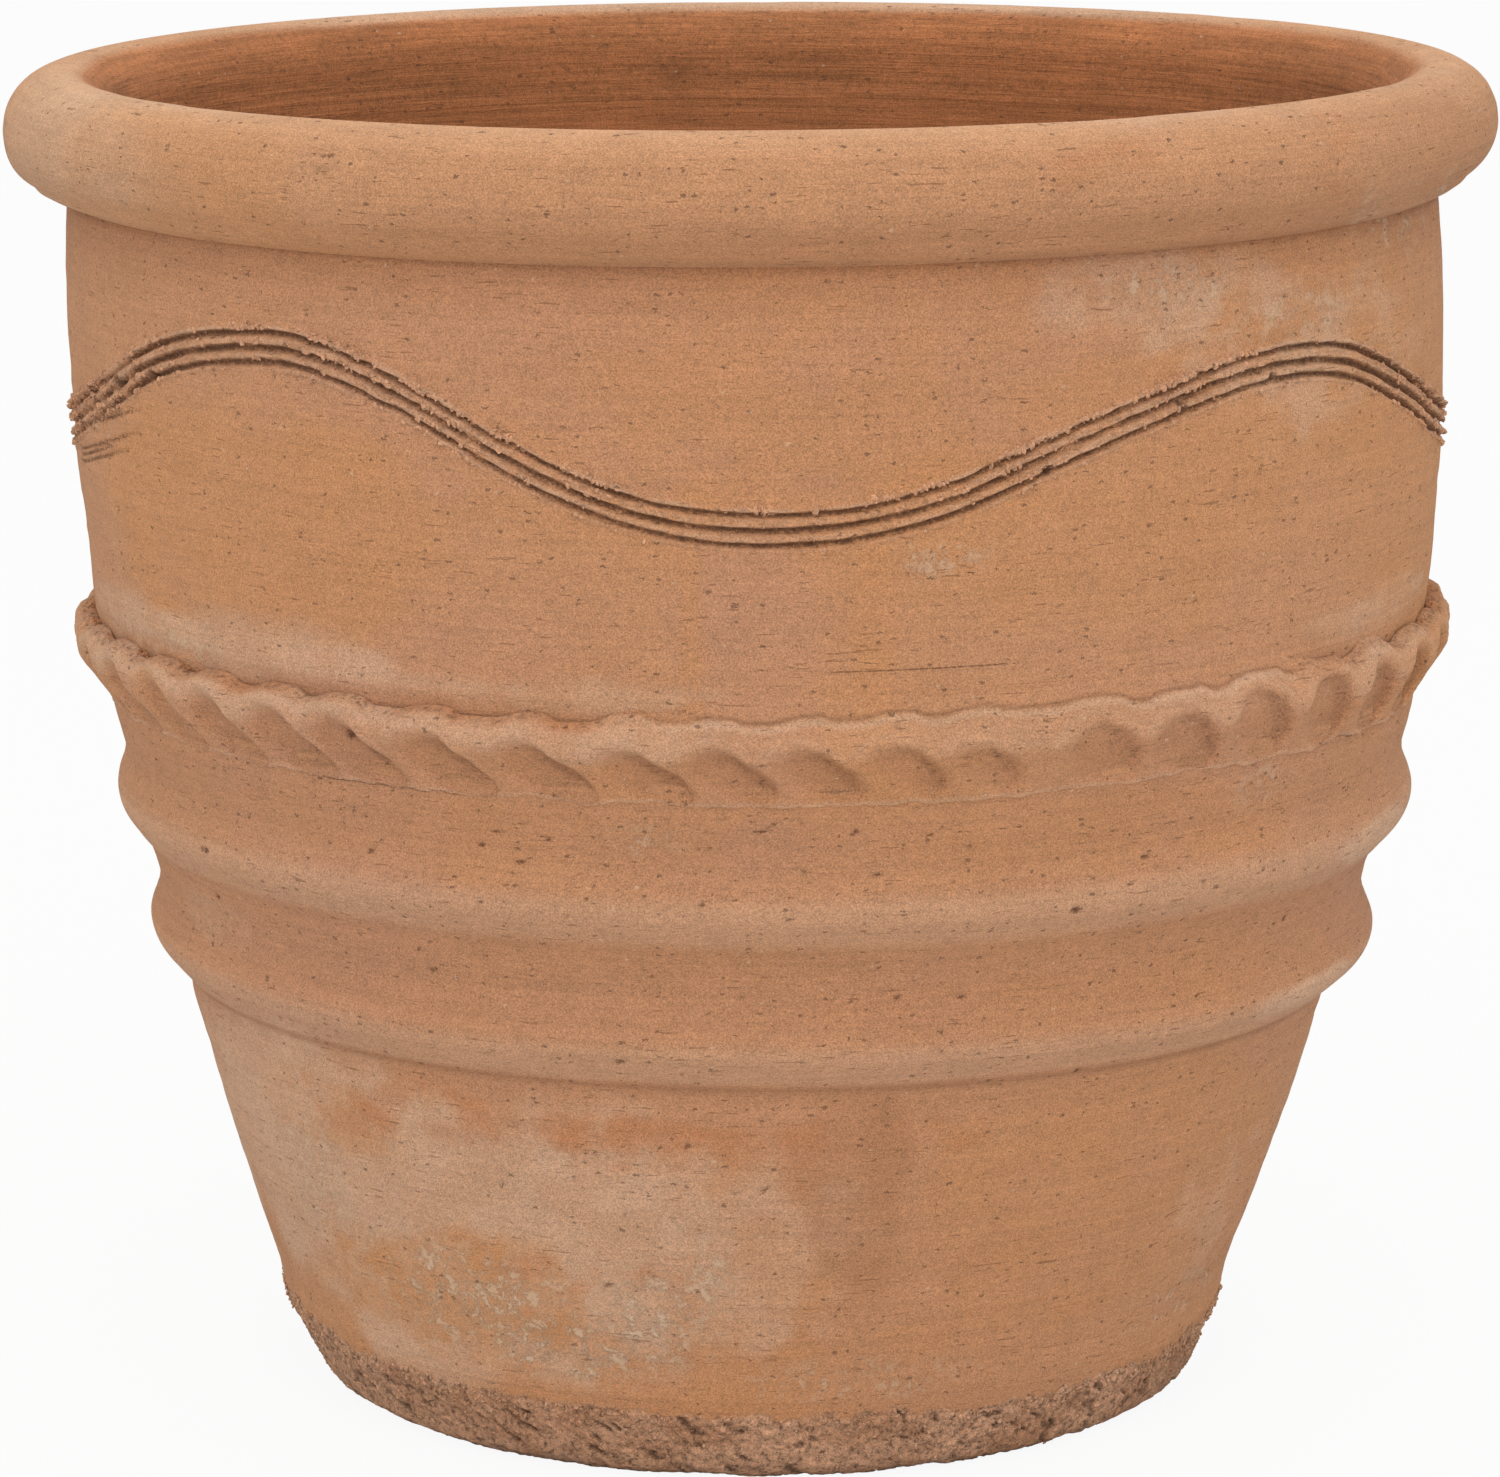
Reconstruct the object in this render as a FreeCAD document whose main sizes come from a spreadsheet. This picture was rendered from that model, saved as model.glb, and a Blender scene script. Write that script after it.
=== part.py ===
import FreeCAD, Part
import os
import Sketcher

# A wide-mouthed terracotta pithos, thrown and built from ten pieces of clay: a floor slab, a corner coil,
# four wall sections that meet in sloping seams, a rolled rim, and three applied bands that cover the seams.
# Millimetres. +Z is up, the origin is the middle of the face that the pot stands on, and the front is -Y.

# Driving dimensions. Every stretch of the wall has its own rise and its own flare, which is how much its
# outer radius grows from its lower end to its upper end.
SIZES = {
    # floor slab and foot
    "foot_radius": 142.7,
    "heel_flare": 9.6,
    "heel_rise": 8.0,
    "foot_flare": 19.8,
    "slab_thickness": 24.0,
    "slab_edge_lift": 6.0,
    "heel_bulge": 1.6,
    "drain_radius": 12.5,
    # wall thickness at the slab and everywhere above it, and the leg of the coil in the corner
    "foot_wall": 20.0,
    "wall": 17.5,
    "coil_leg": 14.0,
    # stretches of the wall from the foot up
    "cone_flare": 32.7,
    "cone_rise": 110.0,
    "lower_band_flare": 10.2,
    "lower_band_width": 35.0,
    "waist_flare": 2.6,
    "waist_rise": 10.0,
    "upper_band_flare": 9.2,
    "upper_band_width": 35.0,
    "neck_flare": 4.6,
    "neck_rise": 20.0,
    "rope_flare": 4.2,
    "rope_width": 30.0,
    "drum_flare": 3.5,
    "drum_rise": 140.0,
    "drum_belly": 2.4,
    # the film of slip under each band, and how far its crest stands off the wall
    "slip_layer": 0.2,
    "lower_band_proud": 8.2,
    "upper_band_proud": 7.1,
    "rope_proud": 8.2,
    # rolled rim
    "rim_roll_radius": 19.0,
    "rim_lift": 23.0,
    "rim_seat_rise": 8.0,
    # thumb presses of the rope band
    "press_count": 47,
    "press_depth": 4.2,
    "press_half_length": 15.0,
    "press_half_width": 9.5,
    "press_ball": 8.0,
    "press_slant_degrees": 42.0,
    "rope_joint_degrees": 24.0,
    # places on an outline, as shares of the stretch that they lie on
    "seam_outer_share": 0.3,
    "seam_inner_share": 0.7,
    "middle_share": 0.5,
    "coil_hollow_share": 0.36,
    "nose_low_share": 0.3,
    "nose_low_proud_share": 0.68,
    "nose_high_proud_share": 0.5,
    "plain_crest_share": 0.58,
    "plain_nose_high_share": 0.77,
    "rope_crest_share": 0.74,
    "rope_nose_high_share": 0.9,
    "press_height_share": 0.42,
    "press_front_share": 0.82,
}

# The wall above the foot, as stretches: name of the upper end, flare and rise.
STRETCHES = (
    ("cone_top", "cone_flare", "cone_rise"),
    ("lower_band_top", "lower_band_flare", "lower_band_width"),
    ("waist_top", "waist_flare", "waist_rise"),
    ("upper_band_top", "upper_band_flare", "upper_band_width"),
    ("neck_top", "neck_flare", "neck_rise"),
    ("rope_top", "rope_flare", "rope_width"),
    ("drum_top", "drum_flare", "drum_rise"),
)

doc = FreeCAD.newDocument("pithos")
sheet = doc.addObject("Spreadsheet::Sheet", "sizes")


def fill_sheet():
    """Write every driving dimension into its own cell and name the cell."""
    for row, (name, value) in enumerate(SIZES.items(), start=1):
        sheet.set(f"A{row}", name)
        sheet.set(f"B{row}", str(value))
        sheet.setAlias(f"B{row}", name)
    doc.recompute()


def size(name):
    """The name of a driving dimension, as an expression."""
    return f"sizes.{name}"


def outer_stations():
    """Outer points of the wall, (across, up) as expressions, by the name of the stretch that ends there."""
    across = f"{size('foot_radius')} + {size('foot_flare')}"
    up = f"{size('slab_thickness')} + {size('slab_edge_lift')}"
    stations = {"foot_edge": (across, up)}
    for name, flare, rise in STRETCHES:
        across = f"{across} + {size(flare)}"
        up = f"{up} + {size(rise)}"
        stations[name] = (across, up)
    return stations


STATIONS = outer_stations()
INNER_CORNER = (f"{STATIONS['foot_edge'][0]} - {size('foot_wall')}", size("slab_thickness"))


def inner(name):
    """The point of the inner face level with a station."""
    across, up = STATIONS[name]
    return (f"{across} - {size('wall')}", up)


def on_stretch(start, flare, rise, share, proud="0"):
    """A point at a share of a stretch, standing off the wall by proud."""
    across, up = STATIONS[start]
    return (f"{across} + {share} * {size(flare)} + {proud}", f"{up} + {share} * {size(rise)}")


def seam(start, flare, rise):
    """The sloping seam behind a band: its outer end and its inner end."""
    outer_end = on_stretch(start, flare, rise, size("seam_outer_share"))
    inner_end = on_stretch(start, flare, rise, size("seam_inner_share"), f"-{size('wall')}")
    return outer_end, inner_end


LOWER_SEAM = seam("cone_top", "lower_band_flare", "lower_band_width")
UPPER_SEAM = seam("waist_top", "upper_band_flare", "upper_band_width")
ROPE_SEAM = seam("neck_top", "rope_flare", "rope_width")
RIM_SEAT_INNER = (inner("drum_top")[0], f"{STATIONS['drum_top'][1]} + {size('rim_seat_rise')}")


def new_body(label):
    """An empty body with the sub-part's name."""
    body = doc.addObject("PartDesign::Body", label)
    body.Label = label
    return body


def origin_plane(body, role):
    """One of the body's own origin planes."""
    return next(item for item in body.Origin.OriginFeatures if item.Role == role)


def new_sketch(body, name, role):
    """An empty sketch on an origin plane of its body."""
    sketch = body.newObject("Sketcher::SketchObject", name)
    sketch.AttachmentSupport = [(origin_plane(body, role), "")]
    sketch.MapMode = "FlatFace"
    return sketch


def turned_about(*axis):
    """A placement turned one degree about an axis, which gives the angle's expression an axis to keep."""
    return FreeCAD.Placement(FreeCAD.Vector(), FreeCAD.Rotation(FreeCAD.Vector(*axis), 1))


def vector(point):
    """The place of an (across, up) point for the sketch's first drawing."""
    across, up = (float(sheet.evalExpression(expression)) for expression in point)
    return FreeCAD.Vector(across, up, 0)


def pin_point(sketch, name, place, geometry, end):
    """Bind one end of a line or arc to its across and up expressions."""
    directions = (("DistanceX", "across", place[0], -2), ("DistanceY", "up", place[1], -1))
    for kind, word, expression, axis in directions:
        distance = float(sheet.evalExpression(expression))
        if distance == 0:
            sketch.addConstraint(Sketcher.Constraint("PointOnObject", geometry, end, axis))
            continue
        index = sketch.addConstraint(Sketcher.Constraint(kind, -1, 1, geometry, end, distance))
        sketch.renameConstraint(index, f"{name}_{word}")
        sketch.setExpression(f"Constraints.{name}_{word}", expression)


def draw_outline(sketch, corners):
    """Draw a closed outline through named corners.

    Each corner is (name, place) or (name, place, through): with a through point, the edge that leaves
    the corner is an arc that passes that point.
    """
    ends = []
    for index, corner in enumerate(corners):
        begin = vector(corner[1])
        finish = vector(corners[(index + 1) % len(corners)][1])
        if len(corner) == 2:
            geometry = sketch.addGeometry(Part.LineSegment(begin, finish))
            ends.append((geometry, 1, 2))
            continue
        geometry = sketch.addGeometry(Part.Arc(begin, vector(corner[2]), finish))
        first = sketch.getPoint(geometry, 1)
        runs_forward = (first - begin).Length < (first - finish).Length
        ends.append((geometry, 1, 2) if runs_forward else (geometry, 2, 1))
        middle = sketch.addGeometry(Part.Point(vector(corner[2])), True)
        sketch.addConstraint(Sketcher.Constraint("PointOnObject", middle, 1, geometry))
        pin_point(sketch, f"{corner[0]}_through", corner[2], middle, 1)
    for index, corner in enumerate(corners):
        geometry, start, _ = ends[index]
        before, _, before_end = ends[index - 1]
        sketch.addConstraint(Sketcher.Constraint("Coincident", before, before_end, geometry, start))
        pin_point(sketch, corner[0], corner[1], geometry, start)


def turned_body(label, corners):
    """A body turned about the pot's axis from an outline in the XZ plane."""
    body = new_body(label)
    sketch = new_sketch(body, f"{label}_outline", "XZ_Plane")
    draw_outline(sketch, corners)
    revolve(body, sketch, label)
    return body


def revolve(body, sketch, label):
    """Turn a sketch once round the pot's axis."""
    turn = body.newObject("PartDesign::Revolution", f"{label}_turn")
    turn.Profile = sketch
    turn.ReferenceAxis = (sketch, ["V_Axis"])
    doc.recompute()


def base_slab():
    """The floor disc, with a rounded heel, a lifted edge that carries the wall, and the drain hole."""
    heel = (f"{size('foot_radius')} + {size('heel_flare')}", size("heel_rise"))
    half = size("middle_share")
    heel_through = (
        f"{size('foot_radius')} + {half} * {size('heel_flare')} + {size('heel_bulge')}",
        f"{half} * {size('heel_rise')} - {size('heel_bulge')}",
    )
    corners = [
        ("middle_bottom", ("0", "0")),
        ("foot_ring", (size("foot_radius"), "0"), heel_through),
        ("heel", heel),
        ("foot_edge", STATIONS["foot_edge"]),
        ("inner_corner", INNER_CORNER),
        ("middle_top", ("0", size("slab_thickness"))),
    ]
    body = turned_body("base_slab", corners)
    circle = new_sketch(body, "drain_circle", "XY_Plane")
    radius = SIZES["drain_radius"]
    edge = circle.addGeometry(Part.Circle(FreeCAD.Vector(), FreeCAD.Vector(0, 0, 1), radius))
    circle.addConstraint(Sketcher.Constraint("Coincident", edge, 3, -1, 1))
    index = circle.addConstraint(Sketcher.Constraint("Radius", edge, radius))
    circle.renameConstraint(index, "drain_radius")
    circle.setExpression("Constraints.drain_radius", size("drain_radius"))
    drain = body.newObject("PartDesign::Pocket", "drain_hole")
    drain.Profile = circle
    drain.Type = "ThroughAll"
    drain.Midplane = True
    doc.recompute()
    return body


def floor_corner_coil():
    """The thin coil pressed into the inside corner, with a hollow face."""
    across, up = INNER_CORNER
    leg = size("coil_leg")
    cone_across, cone_up = inner("cone_top")
    lean = f"(({cone_across}) - ({across})) / (({cone_up}) - ({up}))"
    share = size("coil_hollow_share")
    corners = [
        ("inner_corner", INNER_CORNER),
        ("on_wall", (f"{across} + {leg} * {lean}", f"{up} + {leg}"),
         (f"{across} - {share} * {leg}", f"{up} + {share} * {leg}")),
        ("on_floor", (f"{across} - {leg}", up)),
    ]
    return turned_body("floor_corner_coil", corners)


def lower_wall():
    """The plain cone, from the slab's lifted edge to the seam behind the lower band."""
    corners = [
        ("foot_edge", STATIONS["foot_edge"]),
        ("cone_top", STATIONS["cone_top"]),
        ("seam_outer", LOWER_SEAM[0]),
        ("seam_inner", LOWER_SEAM[1]),
        ("cone_top_inner", inner("cone_top")),
        ("inner_corner", INNER_CORNER),
    ]
    return turned_body("lower_wall", corners)


def waist_wall():
    """The short section between the seams of the two plain bands."""
    corners = [
        ("seam_low_outer", LOWER_SEAM[0]),
        ("lower_band_top", STATIONS["lower_band_top"]),
        ("waist_top", STATIONS["waist_top"]),
        ("seam_high_outer", UPPER_SEAM[0]),
        ("seam_high_inner", UPPER_SEAM[1]),
        ("waist_top_inner", inner("waist_top")),
        ("lower_band_top_inner", inner("lower_band_top")),
        ("seam_low_inner", LOWER_SEAM[1]),
    ]
    return turned_body("waist_wall", corners)


def shoulder_wall():
    """The section between the seams of the upper plain band and the rope band."""
    corners = [
        ("seam_low_outer", UPPER_SEAM[0]),
        ("upper_band_top", STATIONS["upper_band_top"]),
        ("neck_top", STATIONS["neck_top"]),
        ("seam_high_outer", ROPE_SEAM[0]),
        ("seam_high_inner", ROPE_SEAM[1]),
        ("neck_top_inner", inner("neck_top")),
        ("upper_band_top_inner", inner("upper_band_top")),
        ("seam_low_inner", UPPER_SEAM[1]),
    ]
    return turned_body("shoulder_wall", corners)


def upper_wall():
    """The drum with its slight belly, from the rope's seam to the sloping seat of the rim."""
    belly = on_stretch("rope_top", "drum_flare", "drum_rise", size("middle_share"), size("drum_belly"))
    belly_inner = (f"{belly[0]} - {size('wall')}", belly[1])
    corners = [
        ("seam_outer", ROPE_SEAM[0]),
        ("rope_top", STATIONS["rope_top"], belly),
        ("drum_top", STATIONS["drum_top"]),
        ("rim_seat_inner", RIM_SEAT_INNER),
        ("drum_top_inner", inner("drum_top"), belly_inner),
        ("rope_top_inner", inner("rope_top")),
        ("seam_inner", ROPE_SEAM[1]),
    ]
    return turned_body("upper_wall", corners)


def rim_roll():
    """The rolled rim: a round coil, flush with the inside of the drum, with a straight tucked underside."""
    body = new_body("rim_roll")
    sketch = new_sketch(body, "rim_roll_outline", "XZ_Plane")
    middle = (
        f"{inner('drum_top')[0]} + {size('rim_roll_radius')}",
        f"{STATIONS['drum_top'][1]} + {size('rim_lift')}",
    )
    radius = SIZES["rim_roll_radius"]
    crease = vector(STATIONS["drum_top"])
    seat = vector(RIM_SEAT_INNER)
    centre = vector(middle)
    inside = centre - FreeCAD.Vector(radius, 0, 0)
    crown = centre + FreeCAD.Vector(0, radius, 0)
    underside = centre + FreeCAD.Vector(radius, -radius, 0).normalize() * radius
    tuck = sketch.addGeometry(Part.LineSegment(crease, underside))
    roll = sketch.addGeometry(Part.Arc(underside, crown, inside))
    lip = sketch.addGeometry(Part.LineSegment(inside, seat))
    bed = sketch.addGeometry(Part.LineSegment(seat, crease))
    sketch.addConstraint(Sketcher.Constraint("Tangent", tuck, 2, roll, 1))
    sketch.addConstraint(Sketcher.Constraint("Coincident", roll, 2, lip, 1))
    sketch.addConstraint(Sketcher.Constraint("Vertical", lip))
    sketch.addConstraint(Sketcher.Constraint("Coincident", lip, 2, bed, 1))
    sketch.addConstraint(Sketcher.Constraint("Coincident", bed, 2, tuck, 1))
    index = sketch.addConstraint(Sketcher.Constraint("Radius", roll, radius))
    sketch.renameConstraint(index, "roll_radius")
    sketch.setExpression("Constraints.roll_radius", size("rim_roll_radius"))
    pin_point(sketch, "roll_centre", middle, roll, 3)
    pin_point(sketch, "crease", STATIONS["drum_top"], tuck, 1)
    pin_point(sketch, "seat", RIM_SEAT_INNER, bed, 1)
    revolve(body, sketch, "rim_roll")
    return body


def bead(label, start, flare, rise, proud, crest_share, high_share):
    """A band stuck with slip on a stretch of the wall, with a rounded nose."""
    def front(share, reach):
        return on_stretch(start, flare, rise, share, reach)

    reach_low = f"{size('nose_low_proud_share')} * {size(proud)}"
    reach_high = f"{size('nose_high_proud_share')} * {size(proud)}"
    corners = [
        ("edge_low", front("0", size("slip_layer"))),
        ("nose_low", front(size("nose_low_share"), reach_low), front(size(crest_share), size(proud))),
        ("nose_high", front(size(high_share), reach_high)),
        ("edge_high", front("1", size("slip_layer"))),
    ]
    return turned_body(label, corners)


def lower_plain_band():
    """The bead over the seam of the lower wall and the waist."""
    return bead("lower_plain_band", "cone_top", "lower_band_flare", "lower_band_width",
                "lower_band_proud", "plain_crest_share", "plain_nose_high_share")


def upper_plain_band():
    """The bead over the seam of the waist and the shoulder."""
    return bead("upper_plain_band", "waist_top", "upper_band_flare", "upper_band_width",
                "upper_band_proud", "plain_crest_share", "plain_nose_high_share")


def rope_band():
    """The thumb-pressed strip: slanted presses all round, with one place left out where its ends join."""
    body = bead("rope_band", "neck_top", "rope_flare", "rope_width",
                "rope_proud", "rope_crest_share", "rope_nose_high_share")
    strip = body.Tip
    front = f"{size('press_front_share')} * {size('rope_proud')}"
    across, up = on_stretch("neck_top", "rope_flare", "rope_width", size("press_height_share"), front)
    press = body.newObject("PartDesign::SubtractiveEllipsoid", "thumb_press")
    press.AttachmentSupport = [(origin_plane(body, "XZ_Plane"), "")]
    press.MapMode = "FlatFace"
    press.setExpression("Radius1", size("press_ball"))
    press.setExpression("Radius2", size("press_half_length"))
    press.setExpression("Radius3", size("press_half_width"))
    press.AttachmentOffset = turned_about(0, 0, -1)
    press.setExpression("AttachmentOffset.Rotation.Angle", size("press_slant_degrees"))
    press.setExpression("AttachmentOffset.Base.y", up)
    press.setExpression("AttachmentOffset.Base.z", f"{across} - {size('press_depth')} + {size('press_ball')}")
    doc.recompute()
    presses = body.newObject("PartDesign::PolarPattern", "thumb_presses")
    presses.Originals = [press]
    presses.Axis = (strip.Profile[0], ["V_Axis"])
    pitch = f"360 / ({size('press_count')} + 1)"
    presses.setExpression("Occurrences", size("press_count"))
    presses.setExpression("Angle", f"360 - 2 * {pitch}")
    body.Tip = presses
    doc.recompute()
    body.Placement = turned_about(0, 0, 1)
    body.setExpression("Placement.Rotation.Angle", f"{size('rope_joint_degrees')} + {pitch}")
    doc.recompute()
    return body


def write_parts(bodies):
    """Stop if anything failed, then write each sub-part to its own file."""
    for item in doc.Objects:
        if "Invalid" in item.State or "Error" in item.State:
            raise RuntimeError(f"{item.Label} failed: {item.State}")
    for body in bodies:
        if body.Shape.isNull() or not body.Shape.isValid():
            raise RuntimeError(f"{body.Label} has no valid shape")
    os.makedirs("parts", exist_ok=True)
    for body in bodies:
        body.Shape.exportStep(f"parts/{body.Label}.step")
        box = body.Shape.optimalBoundingBox()
        print(f"{body.Label}: {body.Shape.Volume / 1000:.1f} cm3, {len(body.Shape.Solids)} solid, "
              f"z {box.ZMin:.1f} to {box.ZMax:.1f}, across {box.XLength:.1f}")


fill_sheet()
write_parts([
    base_slab(),
    floor_corner_coil(),
    lower_wall(),
    waist_wall(),
    shoulder_wall(),
    upper_wall(),
    rim_roll(),
    lower_plain_band(),
    upper_plain_band(),
    rope_band(),
])
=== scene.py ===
import math

import bpy
import numpy as np
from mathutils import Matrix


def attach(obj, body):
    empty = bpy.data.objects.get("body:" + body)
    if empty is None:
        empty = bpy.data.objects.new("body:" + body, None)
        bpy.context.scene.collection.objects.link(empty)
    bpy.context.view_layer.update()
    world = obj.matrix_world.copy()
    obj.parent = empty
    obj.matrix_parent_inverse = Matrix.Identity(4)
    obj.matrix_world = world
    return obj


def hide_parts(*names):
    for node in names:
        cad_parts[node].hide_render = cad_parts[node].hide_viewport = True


# A hand-thrown terracotta pithos with a rolled rim, a combed wave, a thumb-pressed rope, two plain bands
# and a rough foot. Sizes here are millimetres, and become metres when a mesh is made. Angles run round the
# pot from the front (-Y) and grow to the right, heights run up from the floor, and every piece takes its
# outside from the same skin, so that neighbours meet.

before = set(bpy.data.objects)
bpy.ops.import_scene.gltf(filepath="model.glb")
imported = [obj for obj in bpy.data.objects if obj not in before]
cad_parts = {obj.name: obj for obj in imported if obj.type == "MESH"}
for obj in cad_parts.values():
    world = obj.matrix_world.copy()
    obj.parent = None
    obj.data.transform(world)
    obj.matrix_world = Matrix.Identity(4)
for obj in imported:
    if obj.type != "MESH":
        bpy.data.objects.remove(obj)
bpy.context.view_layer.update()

MM = 0.001
TAU = 2 * math.pi
# Radii at which lengths round the pot are turned into angles: anywhere, on the rope and on the rim.
SKIN_RADIUS = 220
ROPE_RADIUS = 231
RIM_RADIUS = 245
# The pot is nowhere narrower than this, where pits are looked for.
LEAST_RADIUS = 160

# Height and radius: the outside with its two plain bands, the same wall bare under the bands, the inside.
SKIN_OUTLINE = (
    (0, 142.7), (4, 149.4), (8, 151.9), (16, 155.6), (24, 159.6), (30, 162.0), (40, 164.6), (60, 171.4),
    (80, 177.7), (100, 183.7), (120, 189.4), (135, 193.6), (142, 195.7), (145, 198.4), (150, 203.5),
    (155, 207.8), (160, 209.2), (165, 207.7), (170, 206.0), (175, 205.5), (180, 206.5), (185, 208.0),
    (190, 210.3), (195, 214.5), (200, 218.6), (205, 220.4), (210, 220.0), (215, 218.2), (220, 217.3),
    (230, 219.4), (240, 221.7), (270, 225.4), (280, 226.4), (300, 228.0), (320, 230.1), (350, 231.0),
    (380, 231.1), (400, 230.2), (408, 229.6), (430, 228.0),
)
BARE_OUTLINE = (
    (0, 142.7), (30, 162.6), (140, 195.2), (175, 205.4), (185, 207.9), (220, 217.2), (240, 221.7),
    (270, 225.4), (430, 228.0),
)
INSIDE_OUTLINE = (
    (24, 142.5), (140, 177.7), (175, 187.9), (185, 190.5), (220, 199.7), (240, 204.3), (270, 208.5),
    (340, 212.3), (410, 212.0), (440, 212.0),
)

# By height: how far the pot wandered to the right while it was thrown, and how much it leans.
DRIFT = (
    (-30, 3.0), (0, 2.6), (14, 1.9), (32, 1.2), (61, 1.7), (90, 2.1), (118, 2.5), (133, 2.3), (156, 4.0),
    (190, 3.7), (204, 5.3), (217, 5.0), (231, 5.0), (245, 4.7), (259, 4.2), (273, 3.8), (286, 4.0),
    (314, 3.2), (341, 2.6), (368, 1.7), (396, 0.9), (431, 0.15), (470, 0.15),
)
LEAN = (
    (-30, 0), (0, 0), (40, 0), (110, -0.004), (156, -0.0086), (172, -0.01), (204, -0.0027), (232, 0.0039),
    (259, 0.0073), (330, 0.0072), (400, 0.006), (431, 0.0058), (470, 0.0058),
)

# Heights between which each plain band is seen.
LOWER_BAND = (143.2, 175)
UPPER_BAND = (187.6, 220)

# The upper edge of the rough foot: angle in degrees, height.
FOOT_EDGE = (
    (-100, 33), (-69, 32), (-58.6, 29), (-42.6, 26.8), (-30, 27.2), (-19, 27), (-8, 25.6), (3, 25.4),
    (16, 25.2), (30, 22.8), (45, 23.5), (75, 27), (120, 31), (170, 27), (215, 29),
)

# The middle groove of the combed wave: angle in degrees, height.
WAVE = (
    (-72.2, 342.5), (-63.4, 355.0), (-57.4, 364.9), (-45.3, 375.7), (-38.0, 376.6), (-28.5, 366.3),
    (-20.1, 349.7), (-12.1, 336.0), (-4.5, 328.8), (0.4, 327.5), (6.9, 328.9), (14.7, 335.7), (22.9, 347.7),
    (31.8, 358.7), (41.9, 367.2), (52.7, 366.3), (64.5, 351.6), (74.1, 337.2), (90, 326.5), (112, 346),
    (134, 371), (158, 348), (180, 327.5), (203, 349), (226, 373), (248, 351), (270, 330),
)
# The comb's teeth: height above the middle groove, half width and depth.
COMB = ((4.9, 0.9, 1.8), (0.0, 1.05, 2.0), (-4.6, 0.9, 1.8))
# How torn the combed clay is, by angle in degrees.
TORN = (
    (-76, 1.0), (-64, 0.95), (-56, 0.5), (-46, 0.3), (-38, 0.5), (-32, 0.85), (-20, 0.9), (-12, 0.45),
    (0, 0.3), (12, 0.3), (20, 0.6), (34, 0.65), (46, 0.5), (58, 0.45), (74, 0.8), (100, 0.35), (125, 0.6),
    (150, 0.8), (180, 0.3), (205, 0.35), (230, 0.5), (262, 0.9),
)
# Light strokes where the comb first touched: start and end, each as angle and height.
FIRST_STROKES = (((-76.5, 336.0), (-56.4, 352.5)), ((-76.4, 328.0), (-57.2, 344.8)),
                 ((-77.0, 323.3), (-59.0, 338.3)), ((-76.7, 325.8), (-62.4, 337.6)))

# Thumb presses of the rope: angle in degrees, height, depth, half length, half width, slant in degrees.
SEEN_PRESSES = (
    (-73.5, 251.2, 3.8, 17, 10.6, 44), (-65.6, 251.0, 4.0, 17.5, 10.6, 43),
    (-57.5, 250.8, 4.2, 18, 10.6, 42), (-49.3, 250.8, 4.4, 18.5, 10.4, 40),
    (-41.4, 250.8, 4.5, 18.5, 10.4, 37), (-34.5, 250.8, 4.4, 18.5, 10, 35),
    (-26.2, 250.0, 4.3, 17.5, 9.4, 32), (-17.6, 250.2, 4.2, 17, 8.9, 30), (-9.9, 250.8, 4.0, 16.5, 8.5, 28),
    (-2.9, 251.2, 3.6, 15.5, 8.2, 27), (3.9, 251.6, 3.3, 15.5, 8.0, 27), (10.9, 252.4, 3.0, 15, 7.8, 27),
    (17.3, 252.4, 2.5, 14, 7.5, 28), (27.2, 251.6, 3.5, 16, 11.5, 24), (35.2, 252.0, 3.8, 16, 11.5, 28),
    (43.4, 254.2, 4.1, 16, 12, 34), (52.0, 254.4, 4.3, 15, 12, 40), (60.4, 253.0, 4.4, 14, 11.5, 46),
    (69.0, 252.6, 4.4, 14, 11.5, 50),
)
# Degrees from one press to the next where the photo doesn't show them, and where the strip's ends overlap.
PRESS_PITCH = 7.9
ROPE_JOINT = 22.8
# How far round the pot a press can reach, in radians, and the rows of points on the strip's face.
PRESS_REACH = 0.13
ROPE_ROWS = 52
# The strip's face as height and radius:
# where its top edge was left torn and where it was wiped down onto the drum.
LOWER_FACE = (
    (240.3, 221.0), (240.9, 222.4), (241.8, 223.0), (243.2, 223.6), (246.0, 225.4), (250.0, 228.2),
    (254.0, 230.7),
)
TORN_OUTLINE = LOWER_FACE + (
    (258.0, 232.5), (261.5, 233.2), (264.3, 232.9), (266.3, 231.8), (267.7, 230.0), (268.5, 228.4),
    (268.9, 226.9), (268.7, 225.4),
)
WIPED_OUTLINE = LOWER_FACE + (
    (258.0, 232.3), (261.0, 232.6), (263.4, 231.6), (265.4, 230.0), (267.6, 228.3), (270.2, 227.0),
    (273.5, 226.4), (275.4, 225.7),
)

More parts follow.
